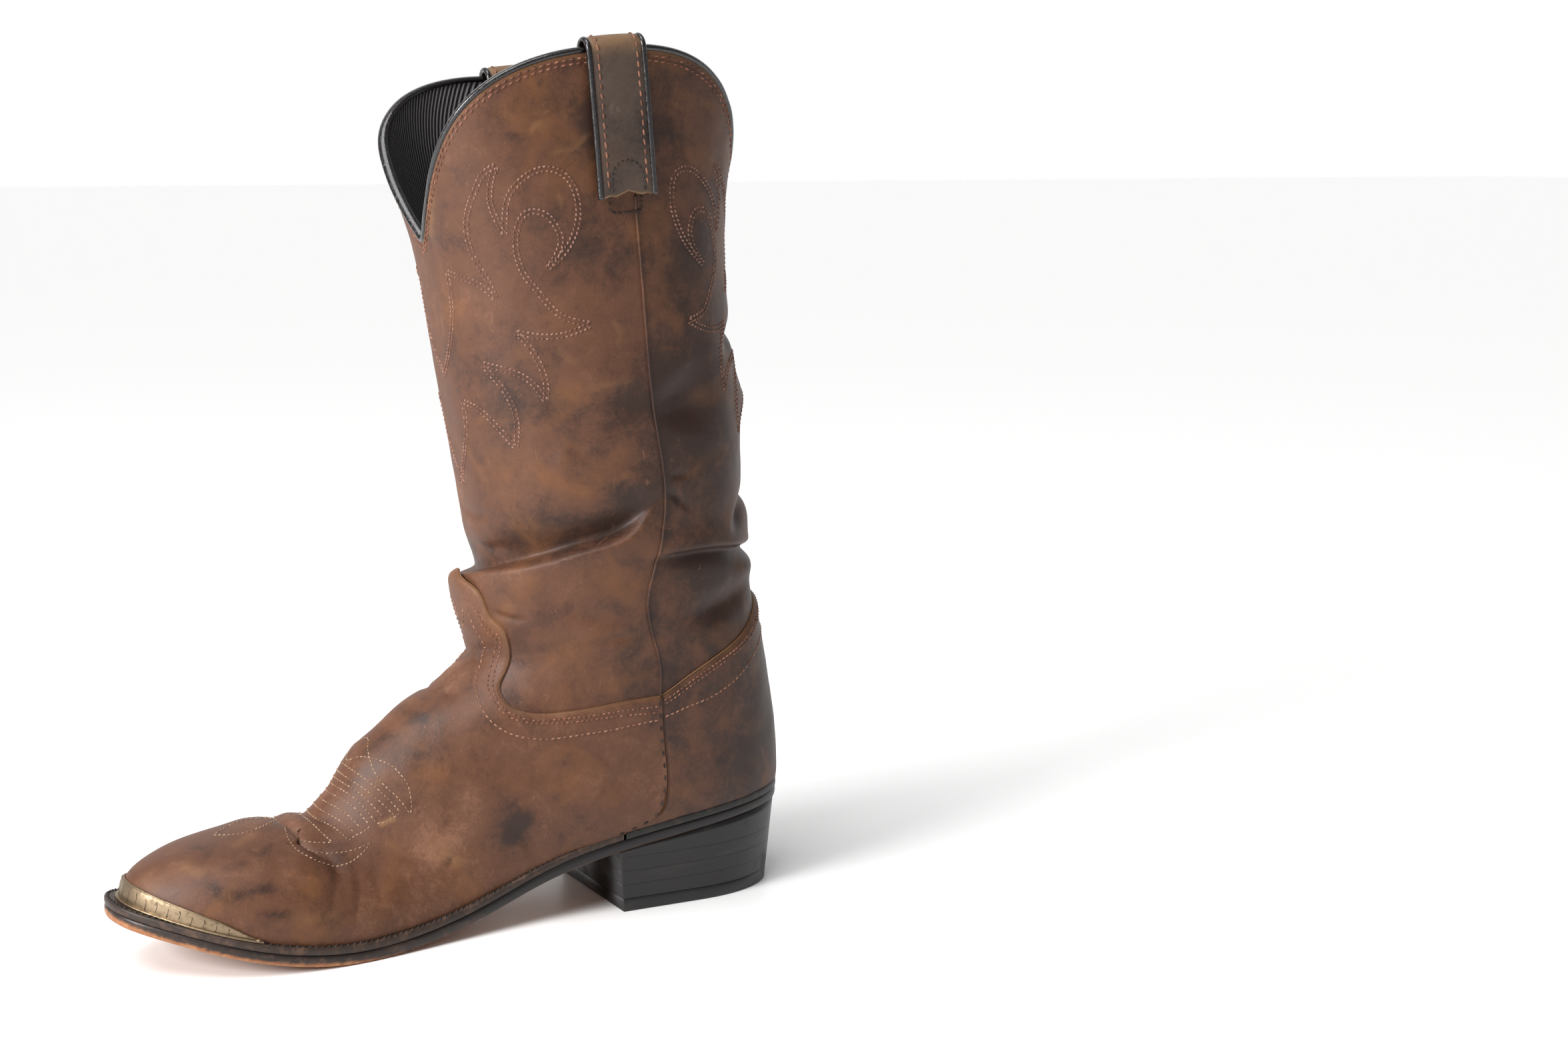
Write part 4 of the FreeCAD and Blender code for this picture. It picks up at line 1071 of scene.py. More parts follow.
def make_strap(side, name):
    path, away = strap_path(side)
    rows = len(path)
    turn = np.linspace(0, 2 * math.pi, 40, endpoint=False)
    across = np.sign(np.cos(turn)) * np.abs(np.cos(turn)) ** 0.35 * STRAP_HALF
    over = np.sign(np.sin(turn)) * np.abs(np.sin(turn)) ** 0.45 * STRAP_THICK / 2
    crown = 0.35 * (1 - (across / STRAP_HALF) ** 2)
    share = np.abs(across / STRAP_HALF)
    ogee = 2.6 * (0.5 + 0.5 * np.cos(math.pi * np.clip(share / 0.42, 0, 1))) + 0.9 * (share > 0.42) * np.sin(
        math.pi * np.clip((share - 0.42) / 0.58, 0, 1))
    fade = np.clip(1 - np.arange(rows) / 7, 0, 1)[:, None]
    lifted = np.repeat(path[:, None], len(turn), 1)
    lifted[..., 1] += fade * ogee[None]
    points = strap_place(side, across[None], lifted, away[:, None], over[None] + crown[None])
    raw = np.zeros((rows, len(turn)))
    raw[:1] = 0.8
    flat = points.reshape(-1, 3)
    faces = grid_faces(rows, len(turn), closed=True, flip=side > 0)
    half = len(turn) // 2
    caps = []
    for first, flip in ((0, side > 0), ((rows - 1) * len(turn), side < 0)):
        for k in range(half):
            a, b = first + k, first + k + 1
            c, d = first + (len(turn) - k - 1) % len(turn), first + (len(turn) - k) % len(turn)
            if len({a, b, c, d}) == 4:
                caps.append([a, b, c, d][::-1] if flip else [a, b, c, d])
    tone = soft_noise(flat, 30.0, 8) * 0.8 - 0.1
    wear = np.repeat((np.exp(-((path[:, 1] - path[:, 1].max()) / 5.0) ** 2) * 0.8)[:, None], len(turn), 1)
    strap = mesh("strap_" + name, flat, np.concatenate([faces, np.array(caps)]), STRAP,
                 raw=raw.ravel(), tone=tone, wear=wear.ravel())
    place_on(strap, "shaft", "strap_leather", "pull_strap_" + name)
    for edge in (-1, 1):
        x = edge * (STRAP_HALF + 0.85)
        middle = strap_place(side, np.full(rows, x), path, away, np.full(rows, 0.1))
        cord = tube("strap_piping_%s_%d" % (name, (edge + 3) // 2), middle, CORD_RADIUS, PATENT, sides=12)
        place_on(cord, "shaft", "black_binding")
    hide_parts("pull_strap_piping_" + name)
    rows_of_thread = []
    for x in (-STRAP_ROW, STRAP_ROW):
        across = np.full(rows, x)
        line = strap_place(side, across, path, away, np.full(rows, STRAP_THICK / 2 + 0.12))[4:]
        above = strap_place(side, across, path, away, np.full(rows, STRAP_THICK / 2 + 1.12))[4:]
        rows_of_thread.append((line, unit(above - line)))
    sewn = stitches("strap_stitches_" + name, rows_of_thread, THREAD_RED, pitch=3.9, length=0.74, radius=0.42,
                    slant=4)
    place_on(sewn, "shaft", "strap_leather")
    arch = [(-7.2, 308.4), (-7.3, 314.0), (-7.3, 321.6), (-5.6, 326.6), (-2.0, 329.4), (2.0, 329.4),
            (5.6, 326.6), (7.3, 321.6), (7.3, 314.0), (7.2, 308.4)]
    box = []
    for line in (arch, [(-7.2, 308.4), (0.0, 308.2), (7.2, 308.4)]):
        line = np.array(line)
        dense = spline(travel(line), line)(np.arange(0, travel(line)[-1], 0.7))
        x, z = dense[:, 0], dense[:, 1]
        on_strap = z > STRAP_END + 1.5
        y = wall_height(z) + np.where(on_strap, STRAP_OUT + STRAP_THICK / 2 + 0.35, 0.15)
        flat_path = np.stack([y, z], -1)
        outward = np.tile([1.0, 0.12], (len(z), 1))
        points = strap_place(side, x, flat_path, outward, np.zeros(len(z)))
        if not on_strap.all():
            points[~on_strap, 1] += side * creases(points[~on_strap])
        box.append((points, np.tile([0.0, side * 1.0, 0.1], (len(z), 1))))
    sewn = stitches("strap_box_stitches_" + name, box, THREAD_BLACK, pitch=2.3, length=0.7, radius=0.38,
                    slant=0)
    place_on(sewn, "shaft", "black_binding")


# ---------------------------------------------------------------- sole and heel

OUTSOLE, WELT = 5.0, 3.4
BREAST_TOP, BREAST_BOTTOM = 90.0, 86.5
SEAT_TOP = 46.0
TOP_LIFT, LIFT = 6.0, 6.4
HEEL_BACK, HEEL_HALF, HEEL_LENGTH = 2.5, 34.0, 46.0
HEEL_OUT = 1.55
RAND_REACH = 250.0
SOLE_EDGE = spline([-20.0, 20.0, 60.0, 100.0, 150.0, 200.0, 260.0, 284.0, 296.0, 320.0],
                   [1.5, 1.5, 1.6, 2.4, 4.0, 4.7, 4.8, 6.0, 8.6, 8.6])


def plan_line(count=170):
    """Lower edge of the upper seen from above, near side: from the heel to the tip, x and y."""
    share = np.arange(1, count) / count
    s = HEEL_CHORD + (TIP_CHORD - HEEL_CHORD) * share ** 1.7
    near = bare(s, seat_angle(s))[:, :2]
    far = bare(s, -seat_angle(s))[:, :2]
    heel = bare(HEEL_CHORD, 180.0)[None, :2]
    tip = bare(TIP_CHORD, 0.0)[None, :2]
    return np.concatenate([heel, near, tip, far[::-1]])


def even_loop(points, count):
    """A closed line's points spaced evenly along it, starting at its first point."""
    closed = np.concatenate([points, points[:1]])
    reach = travel(closed)
    at = np.arange(count) * reach[-1] / count
    return np.stack([np.interp(at, reach, closed[:, i]) for i in range(2)], -1)


PLAN = even_loop(plan_line(), 640)


def smooth_loop(values, passes=6):
    for _ in range(passes):
        values = (np.roll(values, 1, 0) + values * 2 + np.roll(values, -1, 0)) / 4
    return values


def plan_out(spread):
    """The plan moved outward by spread, a number or one per point, as x and y."""
    ahead, behind = np.roll(PLAN, -1, 0), np.roll(PLAN, 1, 0)
    along = unit(smooth_loop(ahead - behind))
    away = np.stack([along[:, 1], -along[:, 0]], -1)
    if np.sum(away[:, 0] * (PLAN[:, 0] - PLAN[:, 0].mean())) < 0:
        away = -away
    return PLAN + away * np.broadcast_to(spread, len(PLAN))[:, None]


def seat_at(xy):
    return seat(xy[..., 0] + HALF_LENGTH)


def stacked(rings, closed=True):
    """Points of rings of equal length, and the faces between them."""
    count = len(rings[0])
    return np.concatenate(rings), grid_faces(len(rings), count, closed=closed)


def bridge(count, start, flip):
    """Faces that close a loop of count points by joining its two sides across the middle."""
    quads = [[0, 1, count - 1, count - 2]]
    quads += [[k, k + 1, count - k - 1, count - k] for k in range(1, (count - 1) // 2)]
    quads = np.array(quads) + start
    return quads[:, ::-1] if flip else quads


SOLE_SPREAD = SOLE_EDGE(PLAN[:, 0] + HALF_LENGTH)


def make_outsole():
    """One sole from heel to toe, its edge a little rounded and its corners rubbed."""
    profile = [(-1.6, -3.42, 0.1), (-0.5, -3.44, 0.1), (-0.1, -3.8, 0.15), (0.1, -4.6, 0.3),
               (0.15, -5.8, 0.5), (0.0, -7.0, 0.72), (-0.35, -7.9, 0.9),
               (-1.1, -8.4, 1.0), (-4.0, -8.4, 1.0), (-9.0, -8.4, 1.0)]
    rings, level = [], []
    for spread, drop, rubbed in profile:
        xy = plan_out(SOLE_SPREAD + spread)
        rings.append(np.column_stack([xy, seat_at(xy) + drop]))
        toe = np.clip((PLAN[:, 0] + HALF_LENGTH - 150) / 65, 0, 1)
        tip = np.clip((PLAN[:, 0] + HALF_LENGTH - 284) / 18, 0, 1)
        toe = np.where(drop < -8.2, 1.0, toe)
        level.append(rubbed * (0.05 + 0.95 * toe) + 0.45 * tip)
    points, faces = stacked(rings)
    count = len(PLAN)
    faces = np.concatenate([faces, bridge(count, 0, True), bridge(count, count * (len(profile) - 1), False)])
    sole = mesh("sole", points, faces, SOLE, level=np.concatenate(level))
    place_on(sole, "foot", "sole_leather", "outsole")


def in_order(keep):
    """The kept places of the plan, in one run even if the run passes the plan's first point."""
    order = np.where(keep)[0]
    gap = np.where(np.diff(order) > 1)[0]
    if len(gap):
        order = np.concatenate([order[gap[0] + 1:], order[:gap[0] + 1]])
    return order


def open_ring(name, keep, profile, material, slot, node, spread_from=None):
    """A strip round part of the plan. Each profile row: distance from the sole's edge, height."""
    base = SOLE_SPREAD if spread_from is None else spread_from
    order = in_order(keep)
    rings = []
    for spread, rise in profile:
        xy = plan_out(base + spread)[order]
        rings.append(np.column_stack([xy, seat_at(xy) + rise]))
    rings.append(rings[0])
    points, faces = stacked(rings, closed=False)
    size = len(order)
    for end in (0, size - 1):
        cap = [end + k * size for k in range(len(profile))]
        for k in range(1, len(cap) - 2, 2):
            quad = [cap[0], cap[k], cap[k + 1], cap[k + 2]]
            faces = np.concatenate([faces, [quad if end else quad[::-1]]])
    piece = mesh(name, points, faces, material)
    return place_on(piece, "foot", slot, node)


def plan_row(offset, rise, keep):
    """A stitch row that follows the sole's edge: points and their upward normals."""
    xy = plan_out(SOLE_SPREAD + offset)[in_order(keep)]
    points = np.column_stack([xy, seat_at(xy) + rise])
    return points, np.tile([0.0, 0.0, 1.0], (len(points), 1))


def make_welt():
    x = PLAN[:, 0] + HALF_LENGTH
    front, behind = x > BREAST_TOP - 3.9, x < BREAST_TOP - 4.0
    profile = [(-8.0, -0.05), (-0.7, 0.0), (-0.2, -0.25), (0.0, -0.8), (0.05, -2.4), (-0.15, -3.2),
               (-0.6, -3.36),
               (-8.0, -3.36)]
    open_ring("welt_strip", front, profile, WELT_SKIN, "welt_leather", "welt")
    profile = [(-5.0, 0.1), (-0.1, 0.15), (0.25, -0.1), (0.4, -0.7), (0.4, -2.6), (0.3, -3.2), (0.1, -3.36),
               (-5.0, -3.36)]
    open_ring("heel_rand_strip", behind, profile, RAND_SKIN, "black_leather", "heel_rand")
    rows = [plan_row(-1.35, 0.12, x > BREAST_TOP + 2)]
    sewn = stitches("welt_stitches", rows, THREAD_BLACK, pitch=2.7, length=0.62, radius=0.55, slant=14)
    place_on(sewn, "foot", "welt_leather")


def heel_sides(count=150):
    """The heel's outline on the ground and at the seat, each from breast to breast, evenly spaced."""
    a = np.linspace(-math.pi / 2, math.pi / 2, 120)
    x = HEEL_BACK + HEEL_LENGTH * (1 - np.abs(np.cos(a)) ** 0.95)
    y = np.sign(np.sin(a)) * np.abs(np.sin(a)) ** 0.95 * HEEL_HALF
    ground = np.stack([x - HALF_LENGTH, y], -1)
    corner = BREAST_BOTTOM - HALF_LENGTH
    ground = np.concatenate([[[corner, -HEEL_HALF]], ground, [[corner, HEEL_HALF]]])
    top = plan_out(np.full(len(PLAN), HEEL_OUT))
    half = len(top) // 2
    reach = BREAST_TOP - HALF_LENGTH
    near = top[1:half][top[1:half, 0] < reach - 1.0]
    far = top[half + 1:][top[half + 1:, 0] < reach - 1.0]
    seat_line = np.concatenate([[[reach, far[0, 1]]], far, top[:1], near, [[reach, near[-1, 1]]]])
    lines = []
    for line in (ground, seat_line):
        at = np.linspace(0, travel(line)[-1], count)
        lines.append(np.stack([np.interp(at, travel(line), line[:, i]) for i in range(2)], -1))
    if lines[0][0, 1] * lines[1][0, 1] < 0:
        lines[1] = lines[1][::-1]
    return lines


GROUND_LINE, SEAT_OUTLINE = heel_sides()


def heel_ring(z, inset=0.0):
    """The heel's outline at a height, drawn in by inset, its breast a straight line."""
    z = np.broadcast_to(z, len(GROUND_LINE))[:, None]
    share = z / SEAT_TOP
    xy = GROUND_LINE + (SEAT_OUTLINE - GROUND_LINE) * share
    centre = np.array([45.0 - HALF_LENGTH, 0.0])
    away = unit(xy - centre)
    xy = xy - away * inset
    return np.column_stack([xy, z])


def heel_piece(name, low, high, material, slot, node, soft=0.35, under=None):
    """One layer of the heel, from height low to high; under is the sole it meets, if any."""
    levels = [(low, soft), (low + 0.12, soft * 0.4), (low + 0.3, 0.0)]
    rings = [heel_ring(z, inset) for z, inset in levels]
    if under is None:
        count = max(int((high - low) / 2), 2)
        for k in range(1, count):
            rings.append(heel_ring(low + (high - low) * k / count))
        rings += [heel_ring(high - 0.3), heel_ring(high - 0.12, soft * 0.4), heel_ring(high, soft)]
    else:
        for share in (0.35, 0.7, 1.0):
            z = np.full(len(GROUND_LINE), low + 10.0)
            for _ in range(6):
                xy = heel_ring(z)[:, :2]
                z = seat_at(xy) - under
            rings.append(heel_ring(low + 0.3 + (z - low - 0.3) * share))
    points, faces = stacked(rings, closed=True)
    count = len(GROUND_LINE)
    caps = []
    for ring, flip in ((0, True), (len(rings) - 1, False)):
        start = ring * count
        for k in range(count // 2 - 1):
            quad = [start + k, start + k + 1, start + count - 2 - k, start + count - 1 - k]
            caps.append(quad[::-1] if flip else quad)
    piece = mesh(name, points, np.concatenate([faces, np.array(caps)]), material)
    place_on(piece, "foot", slot, node)


def make_heel():
    heel_piece("heel_rubber_tip", 0.0, TOP_LIFT - 0.02, HEEL_TOP, "rubber", "heel_top_lift")
    level = TOP_LIFT
    for number in range(1, 4):
        heel_piece("heel_layer_%d" % number, level + 0.02, level + LIFT, HEEL, "black_leather",
                   "heel_lift_%d" % number, soft=0.03)
        level += LIFT
    heel_piece("heel_wedge_layer", level + 0.02, level + 10, HEEL, "black_leather", "heel_wedge", soft=0.03,
               under=WELT + OUTSOLE + 0.02)


# ---------------------------------------------------------------- toe rand

BAND_IN, BAND_OUT = VAMP_OUT + 0.15, VAMP_OUT + 1.15
RAND_TOP = [(250, 1.4), (255, 2.4), (259, 3.8), (266, 5.8), (276, 7.2), (290, 8.4), (304, 9.6)]


def rand_grid(columns=401, rows=13):
    """Chords and angles of the band: columns run round the toe, rows up from the welt."""
    loops = []
    levels = np.linspace(0.15, 9.8, 12)
    for level in levels:
        tip = float(bisect(lambda s: over_seat(s, 0.0) > level, np.array(19.0), np.array(TOE_END)))
        s = tip - (tip - 17.6) * np.linspace(0, 1, 160) ** 2.2
        angle = bisect(lambda a: over_seat(s, a) > level, np.zeros_like(s), np.full_like(s, 180.0))
        angle[0] = 0.0
        loop = np.concatenate([np.stack([s, angle], -1)[::-1], np.stack([s, -angle], -1)[1:]])
        points = bare(loop[:, 0], loop[:, 1])
        keep = points[:, 0] > RAND_REACH - HALF_LENGTH + 1.0
        loop, points = loop[keep], points[keep]
        at = np.linspace(0, travel(points)[-1], columns)
        loops.append(np.stack([np.interp(at, travel(points), loop[:, i]) for i in range(2)], -1))
    loops = np.array(loops)
    first = bare(loops[0, :, 0], loops[0, :, 1])
    top = np.interp(first[:, 0] + HALF_LENGTH, *np.array(RAND_TOP).T)
    s, angle = np.zeros((rows, columns)), np.zeros((rows, columns))
    for j in range(columns):
        want = np.linspace(levels[0], top[j], rows)
        s[:, j] = np.interp(want, levels, loops[:, j, 0])
        angle[:, j] = np.interp(want, levels, loops[:, j, 1])
    return s, angle


def scroll(middle, height, size, lean):
    """A small curled tendril on the band, in (mm along, mm up)."""
    t = np.linspace(0, 1, 26)
    turn = lean * (1.2 + 4.6 * t)
    radius = size * (1 - 0.82 * t)
    return np.stack([middle + radius * np.cos(turn) * 1.5, height + radius * np.sin(turn)], -1)


def make_rand():
    s, angle = rand_grid()
    rows, columns = s.shape
    normal = frame_at(worn, s, angle)[2]
    base = worn(s, angle)
    inner = base + normal * BAND_IN
    outer = base + normal * BAND_OUT
    outer[-1] -= normal[-1] * 0.3
    grid = np.concatenate([outer, inner[::-1]])
    faces = grid_faces(2 * rows, columns)
    last = np.arange(columns - 1)
    bottom = (2 * rows - 1) * columns + last
    under = np.stack([bottom, bottom + 1, last + 1, last], -1)
    faces = np.concatenate([faces, under])
    for end, flip in ((0, False), (columns - 1, True)):
        for i in range(rows - 1):
            a, b = i * columns + end, (i + 1) * columns + end
            c, d = (2 * rows - 2 - i) * columns + end, (2 * rows - 1 - i) * columns + end
            faces = np.concatenate([faces, [[a, b, c, d][::-1] if flip else [a, b, c, d]]])
    band = mesh("toe_band", grid.reshape(-1, 3), faces, BRASS)
    place_on(band, "foot", "antique_brass", "toe_rand")
    x = PLAN[:, 0] + HALF_LENGTH
    profile = [(1.9, 1.15), (3.7, 1.15), (4.1, 0.95), (4.2, 0.6), (4.1, 0.12), (1.9, 0.12)]
    open_ring("toe_band_flange", x > RAND_REACH - 0.5, profile, BRASS, "antique_brass", "toe_rand",
              np.zeros(len(PLAN)))
    reach = travel(outer[4])
    lines = []
    for step, middle in enumerate(np.arange(12.0, reach[-1] - 10.0, 5.2)):
        up = 0.52 + 0.1 * (-1) ** step
        lines.append((scroll(middle, up, 0.24, 1 if step % 2 else -1), middle))
    tubes, skins = [], []
    for line, middle in lines:
        column = np.interp(line[:, 0], reach, np.arange(columns))
        row = np.clip(line[:, 1] + (line[:, 1] - 0.55) * 0.4, 0.12, 0.92) * (rows - 1)
        i, j = np.clip(row.astype(int), 0, rows - 2), np.clip(column.astype(int), 0, columns - 2)
        fi, fj = (row - i)[:, None], (column - j)[:, None]
        point = ((outer[i, j] * (1 - fi) + outer[i + 1, j] * fi) * (1 - fj)
                 + (outer[i, j + 1] * (1 - fi) + outer[i + 1, j + 1] * fi) * fj)
        tubes.append(point)
        skins.append(normal[i, j])
    made = []
    for number, (path, up) in enumerate(zip(tubes, skins)):
        made.append(tube("toe_band_scroll_%d" % number, path, 0.13, BRASS_DARK, sides=6, up=up))
    join("toe_band_engraving", made, "foot", "antique_brass")
    rim_line = outer[-2] + normal[-2] * 0.05
    edge = tube("toe_band_bead", rim_line[2:-2], 0.24, BRASS, sides=8)
    place_on(edge, "foot", "antique_brass")
    make_screws()


def join(name, pieces, body, slot):
    """Several small pieces made into one object."""
    points, faces, start = [], [], 0
    material = pieces[0].data.materials[0]
    for piece in pieces:
        data = piece.data
        co = np.empty(len(data.vertices) * 3)
        data.vertices.foreach_get("co", co)
        points.append(co.reshape(-1, 3) * 1000)
        quads = np.array([list(p.vertices) for p in data.polygons])
        faces.append(quads + start)
        start += len(data.vertices)
        bpy.data.objects.remove(piece)
    return place_on(mesh(name, np.concatenate(points), np.concatenate(faces), material), body, slot)


def make_screws():
    """A domed screw head at each end of the rand; the slot in the head is not modelled."""
    heads = []
    rings = 8
    for side in (1, -1):
        x = RAND_REACH + 2.2 - HALF_LENGTH
        row = plan_out(np.full(len(PLAN), 3.45))
        half = len(PLAN) // 2
        part = row[:half] if (row[:half, 1].mean() > 0) == (side > 0) else row[half:]
        order = np.argsort(part[:, 0])
        y = float(np.interp(x, part[order, 0], part[order, 1]))
        centre = np.array([x, y, float(seat(x + HALF_LENGTH)) + 1.2])
        slope = float(seat(x + HALF_LENGTH + 0.5) - seat(x + HALF_LENGTH - 0.5))
        up = unit(np.array([-slope, 0.0, 1.0]))
        right = unit(np.array([1.0, 0.0, slope]))
        front = np.cross(up, right)
        path, radius = [], []
        for k in range(rings + 1):
            a = k / rings * math.pi / 2
            path.append(centre + up * (0.95 * math.sin(a) - 0.15))
            radius.append(max(1.45 * math.cos(a), 0.05))
        head = tube("screw_%d" % (side + 1), np.array(path), np.array(radius), BRASS, sides=24,
                    up=np.tile(right, (rings + 1, 1)))
        heads.append(head)
    join("toe_screws", heads, "foot", "antique_brass")
    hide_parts("toe_rand_screws")


# ---------------------------------------------------------------- stitching

FLAMES = [
    [(1.26, 56.5), (1.33, 49.8), (1.45, 44.2), (1.66, 36), (1.85, 32.2), (2.06, 33.5), (2.2, 37),
     (2.41, 40.8)],
    [(1.26, 56.5), (1.33, 54), (1.45, 50.8), (1.57, 48.8), (1.69, 49), (1.85, 50.8)],
    [(1.85, 50.8), (1.71, 53), (1.54, 57), (1.38, 64.8), (1.29, 73.2), (1.33, 79.2), (1.5, 81.5),
     (1.66, 80.8), (1.85, 77.5), (2.03, 71), (2.14, 64.5)],
    [(2.14, 64.5), (2.02, 69.5), (1.85, 72.8), (1.77, 72.2), (1.66, 68.8), (1.66, 62.8), (1.8, 56.8),
     (2, 53.8), (2.18, 54.8), (2.33, 59), (2.53, 65.8), (2.62, 77)],
    [(2.18, 15.2), (2.23, 26), (2.3, 35), (2.41, 40.8)],
    [(2.18, 15.2), (2.42, 15), (2.6, 13.8), (2.79, 10.5), (3.12, -0.8)],
    [(2.62, 77), (2.7, 68), (2.72, 57), (2.68, 46.8)],
    [(2.68, 46.8), (2.76, 50.5), (2.94, 55), (3.11, 56.8), (3.29, 55.8)],
    [(3.29, 55.8), (3.12, 50.8), (3.02, 41), (2.97, 29.2)],
    [(2.97, 29.2), (3.09, 34.5), (3.29, 40.5), (3.48, 42), (3.72, 39.8)],
    [(3.72, 39.8), (3.53, 32.5), (3.38, 24.2), (3.32, 14.2)],
    [(3.32, 14.2), (3.5, 14), (3.73, 10), (4.17, -3)],
]
LAP_FIRST = [(5.62, 8.5), (5.69, 13), (5.87, 16.2), (6.09, 17.9), (6.22, 20.2), (6.33, 23), (6.42, 26.6),
             (6.61, 26.4), (6.86, 25.2), (7.03, 24.6), (7.2, 25), (7.41, 26.8), (7.62, 29.5), (7.83, 33.5),
             (8.06, 38.5), (8.25, 43), (8.4, 48), (8.48, 53), (8.38, 60.2), (8.21, 68.6), (8.03, 77.2),
             (7.88, 90.8)]
LAP_SECOND = [(5.75, 3), (5.72, 9), (5.83, 13), (6.05, 16.4), (6.26, 18.6), (6.4, 21.4), (6.5, 24.4),
              (6.68, 23.7), (6.9, 22.4), (7.09, 22), (7.32, 23.3), (7.51, 25.4), (7.73, 29.2),
              (7.91, 33.2), (8.14, 38.5), (8.36, 43.8), (8.5, 48), (8.57, 53.8), (8.5, 60.6), (8.34, 68.8),
              (8.16, 77.4), (8.02, 90.6)]
LAP_THIRD = [(5.72, 6), (5.88, 7.4), (6.05, 9.6), (6.27, 11.4), (6.48, 13.8), (6.67, 15.6), (6.81, 15.1),
             (6.96, 14.4), (7.13, 14.8), (7.32, 16.2), (7.52, 18.8), (7.71, 22.4), (7.89, 26.6),
             (8.15, 32), (8.5, 38.5), (8.76, 43.2), (8.93, 47), (9.05, 51), (9.1, 56), (9.03, 61.8),
             (8.78, 69.5), (8.51, 79), (8.27, 87.5), (8.2, 91.6)]
TONGUE_LINE = [(5.64, 5), (5.8, 5.6), (6, 4.6), (6.2, 2.4), (6.42, 0)]
COUNTER_THIRD = [(8.12, 92.8), (7.9, 100), (7.72, 108.8), (7.51, 117.5), (7.22, 128.5), (6.91, 142.8),
                 (6.66, 162), (6.6, 180)]


def mirrored_back(places):
    """A line from the side seam to the back, carried on to the other side seam."""
    return places + [(s, 360 - angle) for s, angle in places[-2::-1]]


def make_stitching():
    rows = []
    for side in (False, True):
        for flame in FLAMES:
            for aside in (-0.95, 0.95):
                rows.append(seam_line(flame, aside=aside, mirror=side))
            back = [(s, min(188.0 - angle * 0.97, 177.0 + 0.05 * angle)) for s, angle in flame]
            for aside in (-0.95, 0.95):
                rows.append(seam_line(back, aside=aside, mirror=side))
    sewn = stitches("flame_stitches", rows, THREAD_FLAME, pitch=2.0, length=0.72, radius=0.40, slant=18)
    place_on(sewn, "ankle", "brown_leather")
    rim_rows = []
    for low, high in ((-93.5, 93.5), (96.5, 263.5)):
        angle = np.linspace(low, high, 700)
        for below in (3.6, 5.6):
            s = rim(angle, below)
            normal = frame_at(worn, s, angle)[2]
            rim_rows.append((worn(s, angle) + normal * 0.02, normal))
    sewn = stitches("rim_stitches", rim_rows, THREAD_RED, pitch=3.3, length=0.74, radius=0.42, slant=8)
    place_on(sewn, "ankle", "brown_leather")
    out = VAMP_OUT
    lap, single, counter = [], [], []
    for mirror in (False, True):
        lap.append(seam_line(LAP_FIRST, out=out, mirror=mirror))
        lap.append(seam_line(LAP_SECOND, out=out, mirror=mirror))
        single.append(seam_line(LAP_THIRD, out=out, mirror=mirror))
        single.append(seam_line(TONGUE_LINE, out=out, mirror=mirror))
    for aside in (2.2, 3.9):
        counter.append(seam_line(mirrored_back(COLLAR), out=out, aside=-aside))
    single.append(seam_line(mirrored_back(COUNTER_THIRD), out=out))
    sewn = stitches("lap_stitches", lap + counter, THREAD_RED, pitch=2.2, length=0.70, radius=0.36, slant=10)
    place_on(sewn, "ankle", "brown_leather")
    sewn = stitches("lap_outer_stitches", single, THREAD_ROSE, pitch=2.6, length=0.74, radius=0.36, slant=8)
    place_on(sewn, "ankle", "brown_leather")
    seams = [seam_line(VAMP_SEAM, out=out + 0.02, aside=-1.1, mirror=False),
             seam_line(VAMP_SEAM, out=out + 0.02, aside=1.1, mirror=True)]
    sewn = stitches("seam_stitches", seams, THREAD_BLACK, pitch=5.6, length=0.5, radius=0.42, slant=0)
    place_on(sewn, "ankle", "brown_leather")
    make_toe_stitches()


def over_ridge(places):
    """A line given from the ridge to the near side, carried over the ridge to the far side."""
    return [(s, -angle) for s, angle in places[::-1] if angle > 0] + places


# The stitched medallion over the ball, near half: rows from the ridge to where they end.
PETAL = [(12.02, 0), (11.71, 8), (11.59, 12.5), (11.52, 17), (11.52, 21.2), (11.57, 26), (11.72, 30.2),
         (11.9, 33.8), (12.09, 37), (12.32, 39.8), (12.53, 42), (12.81, 44.8), (13.11, 46.8)]
ARC = [(10.8, 0), (10.99, 5), (11.24, 9), (11.57, 14.5), (11.93, 20.5), (12.14, 24.5), (12.4, 30.8),
       (12.55, 35.5), (12.73, 40), (12.92, 43.8), (13.11, 46.8)]
NINE_ROWS = [
    [(12.19, 0), (12.44, 24), (13.09, 43.2)],
    [(12.5, 0), (12.68, 23), (13.26, 42.5)],
    [(12.73, 0), (12.85, 21.5), (13.41, 38.8)],
    [(12.96, 0), (13.06, 21), (13.69, 38.5)],
    [(13.26, 0), (13.33, 22), (13.82, 36.2)],
    [(13.58, 0), (13.69, 22.5), (14.09, 34.5)],
    [(13.98, 0), (14.08, 22), (14.46, 35.5)],
    [(14.54, 0), (14.58, 22), (14.96, 38.2)],
    [(15.22, 0), (15.24, 20), (15.39, 34)],
]
BOWL = [(16.5, 0), (16.58, 10), (16.74, 18.5), (16.84, 27), (16.82, 34), (16.66, 39.5), (16.46, 44.2),
        (16.24, 47.2), (16, 49), (15.72, 49.8), (15.4, 49.2), (15.1, 48.2), (14.57, 45.4)]
INNER_BOWL = [(16.3, 0), (16.25, 28), (16.09, 35.2), (15.9, 38.2), (15.64, 41.5), (15.34, 43.6),
              (15.02, 45), (14.57, 45.4)]
LEAF_BOTTOM = [(16.3, 0), (16.28, 20), (16.17, 25), (15.95, 28.8), (15.65, 31.8), (15.38, 34.2)]
ROW_ENDS = [
    [(14.96, 38.2), (14.56, 37.2), (14.18, 37.8), (13.82, 37.2)],
    [(13.69, 38.5), (13.58, 41), (13.42, 42.2), (13.22, 42.8), (13.1, 43.5)],
]
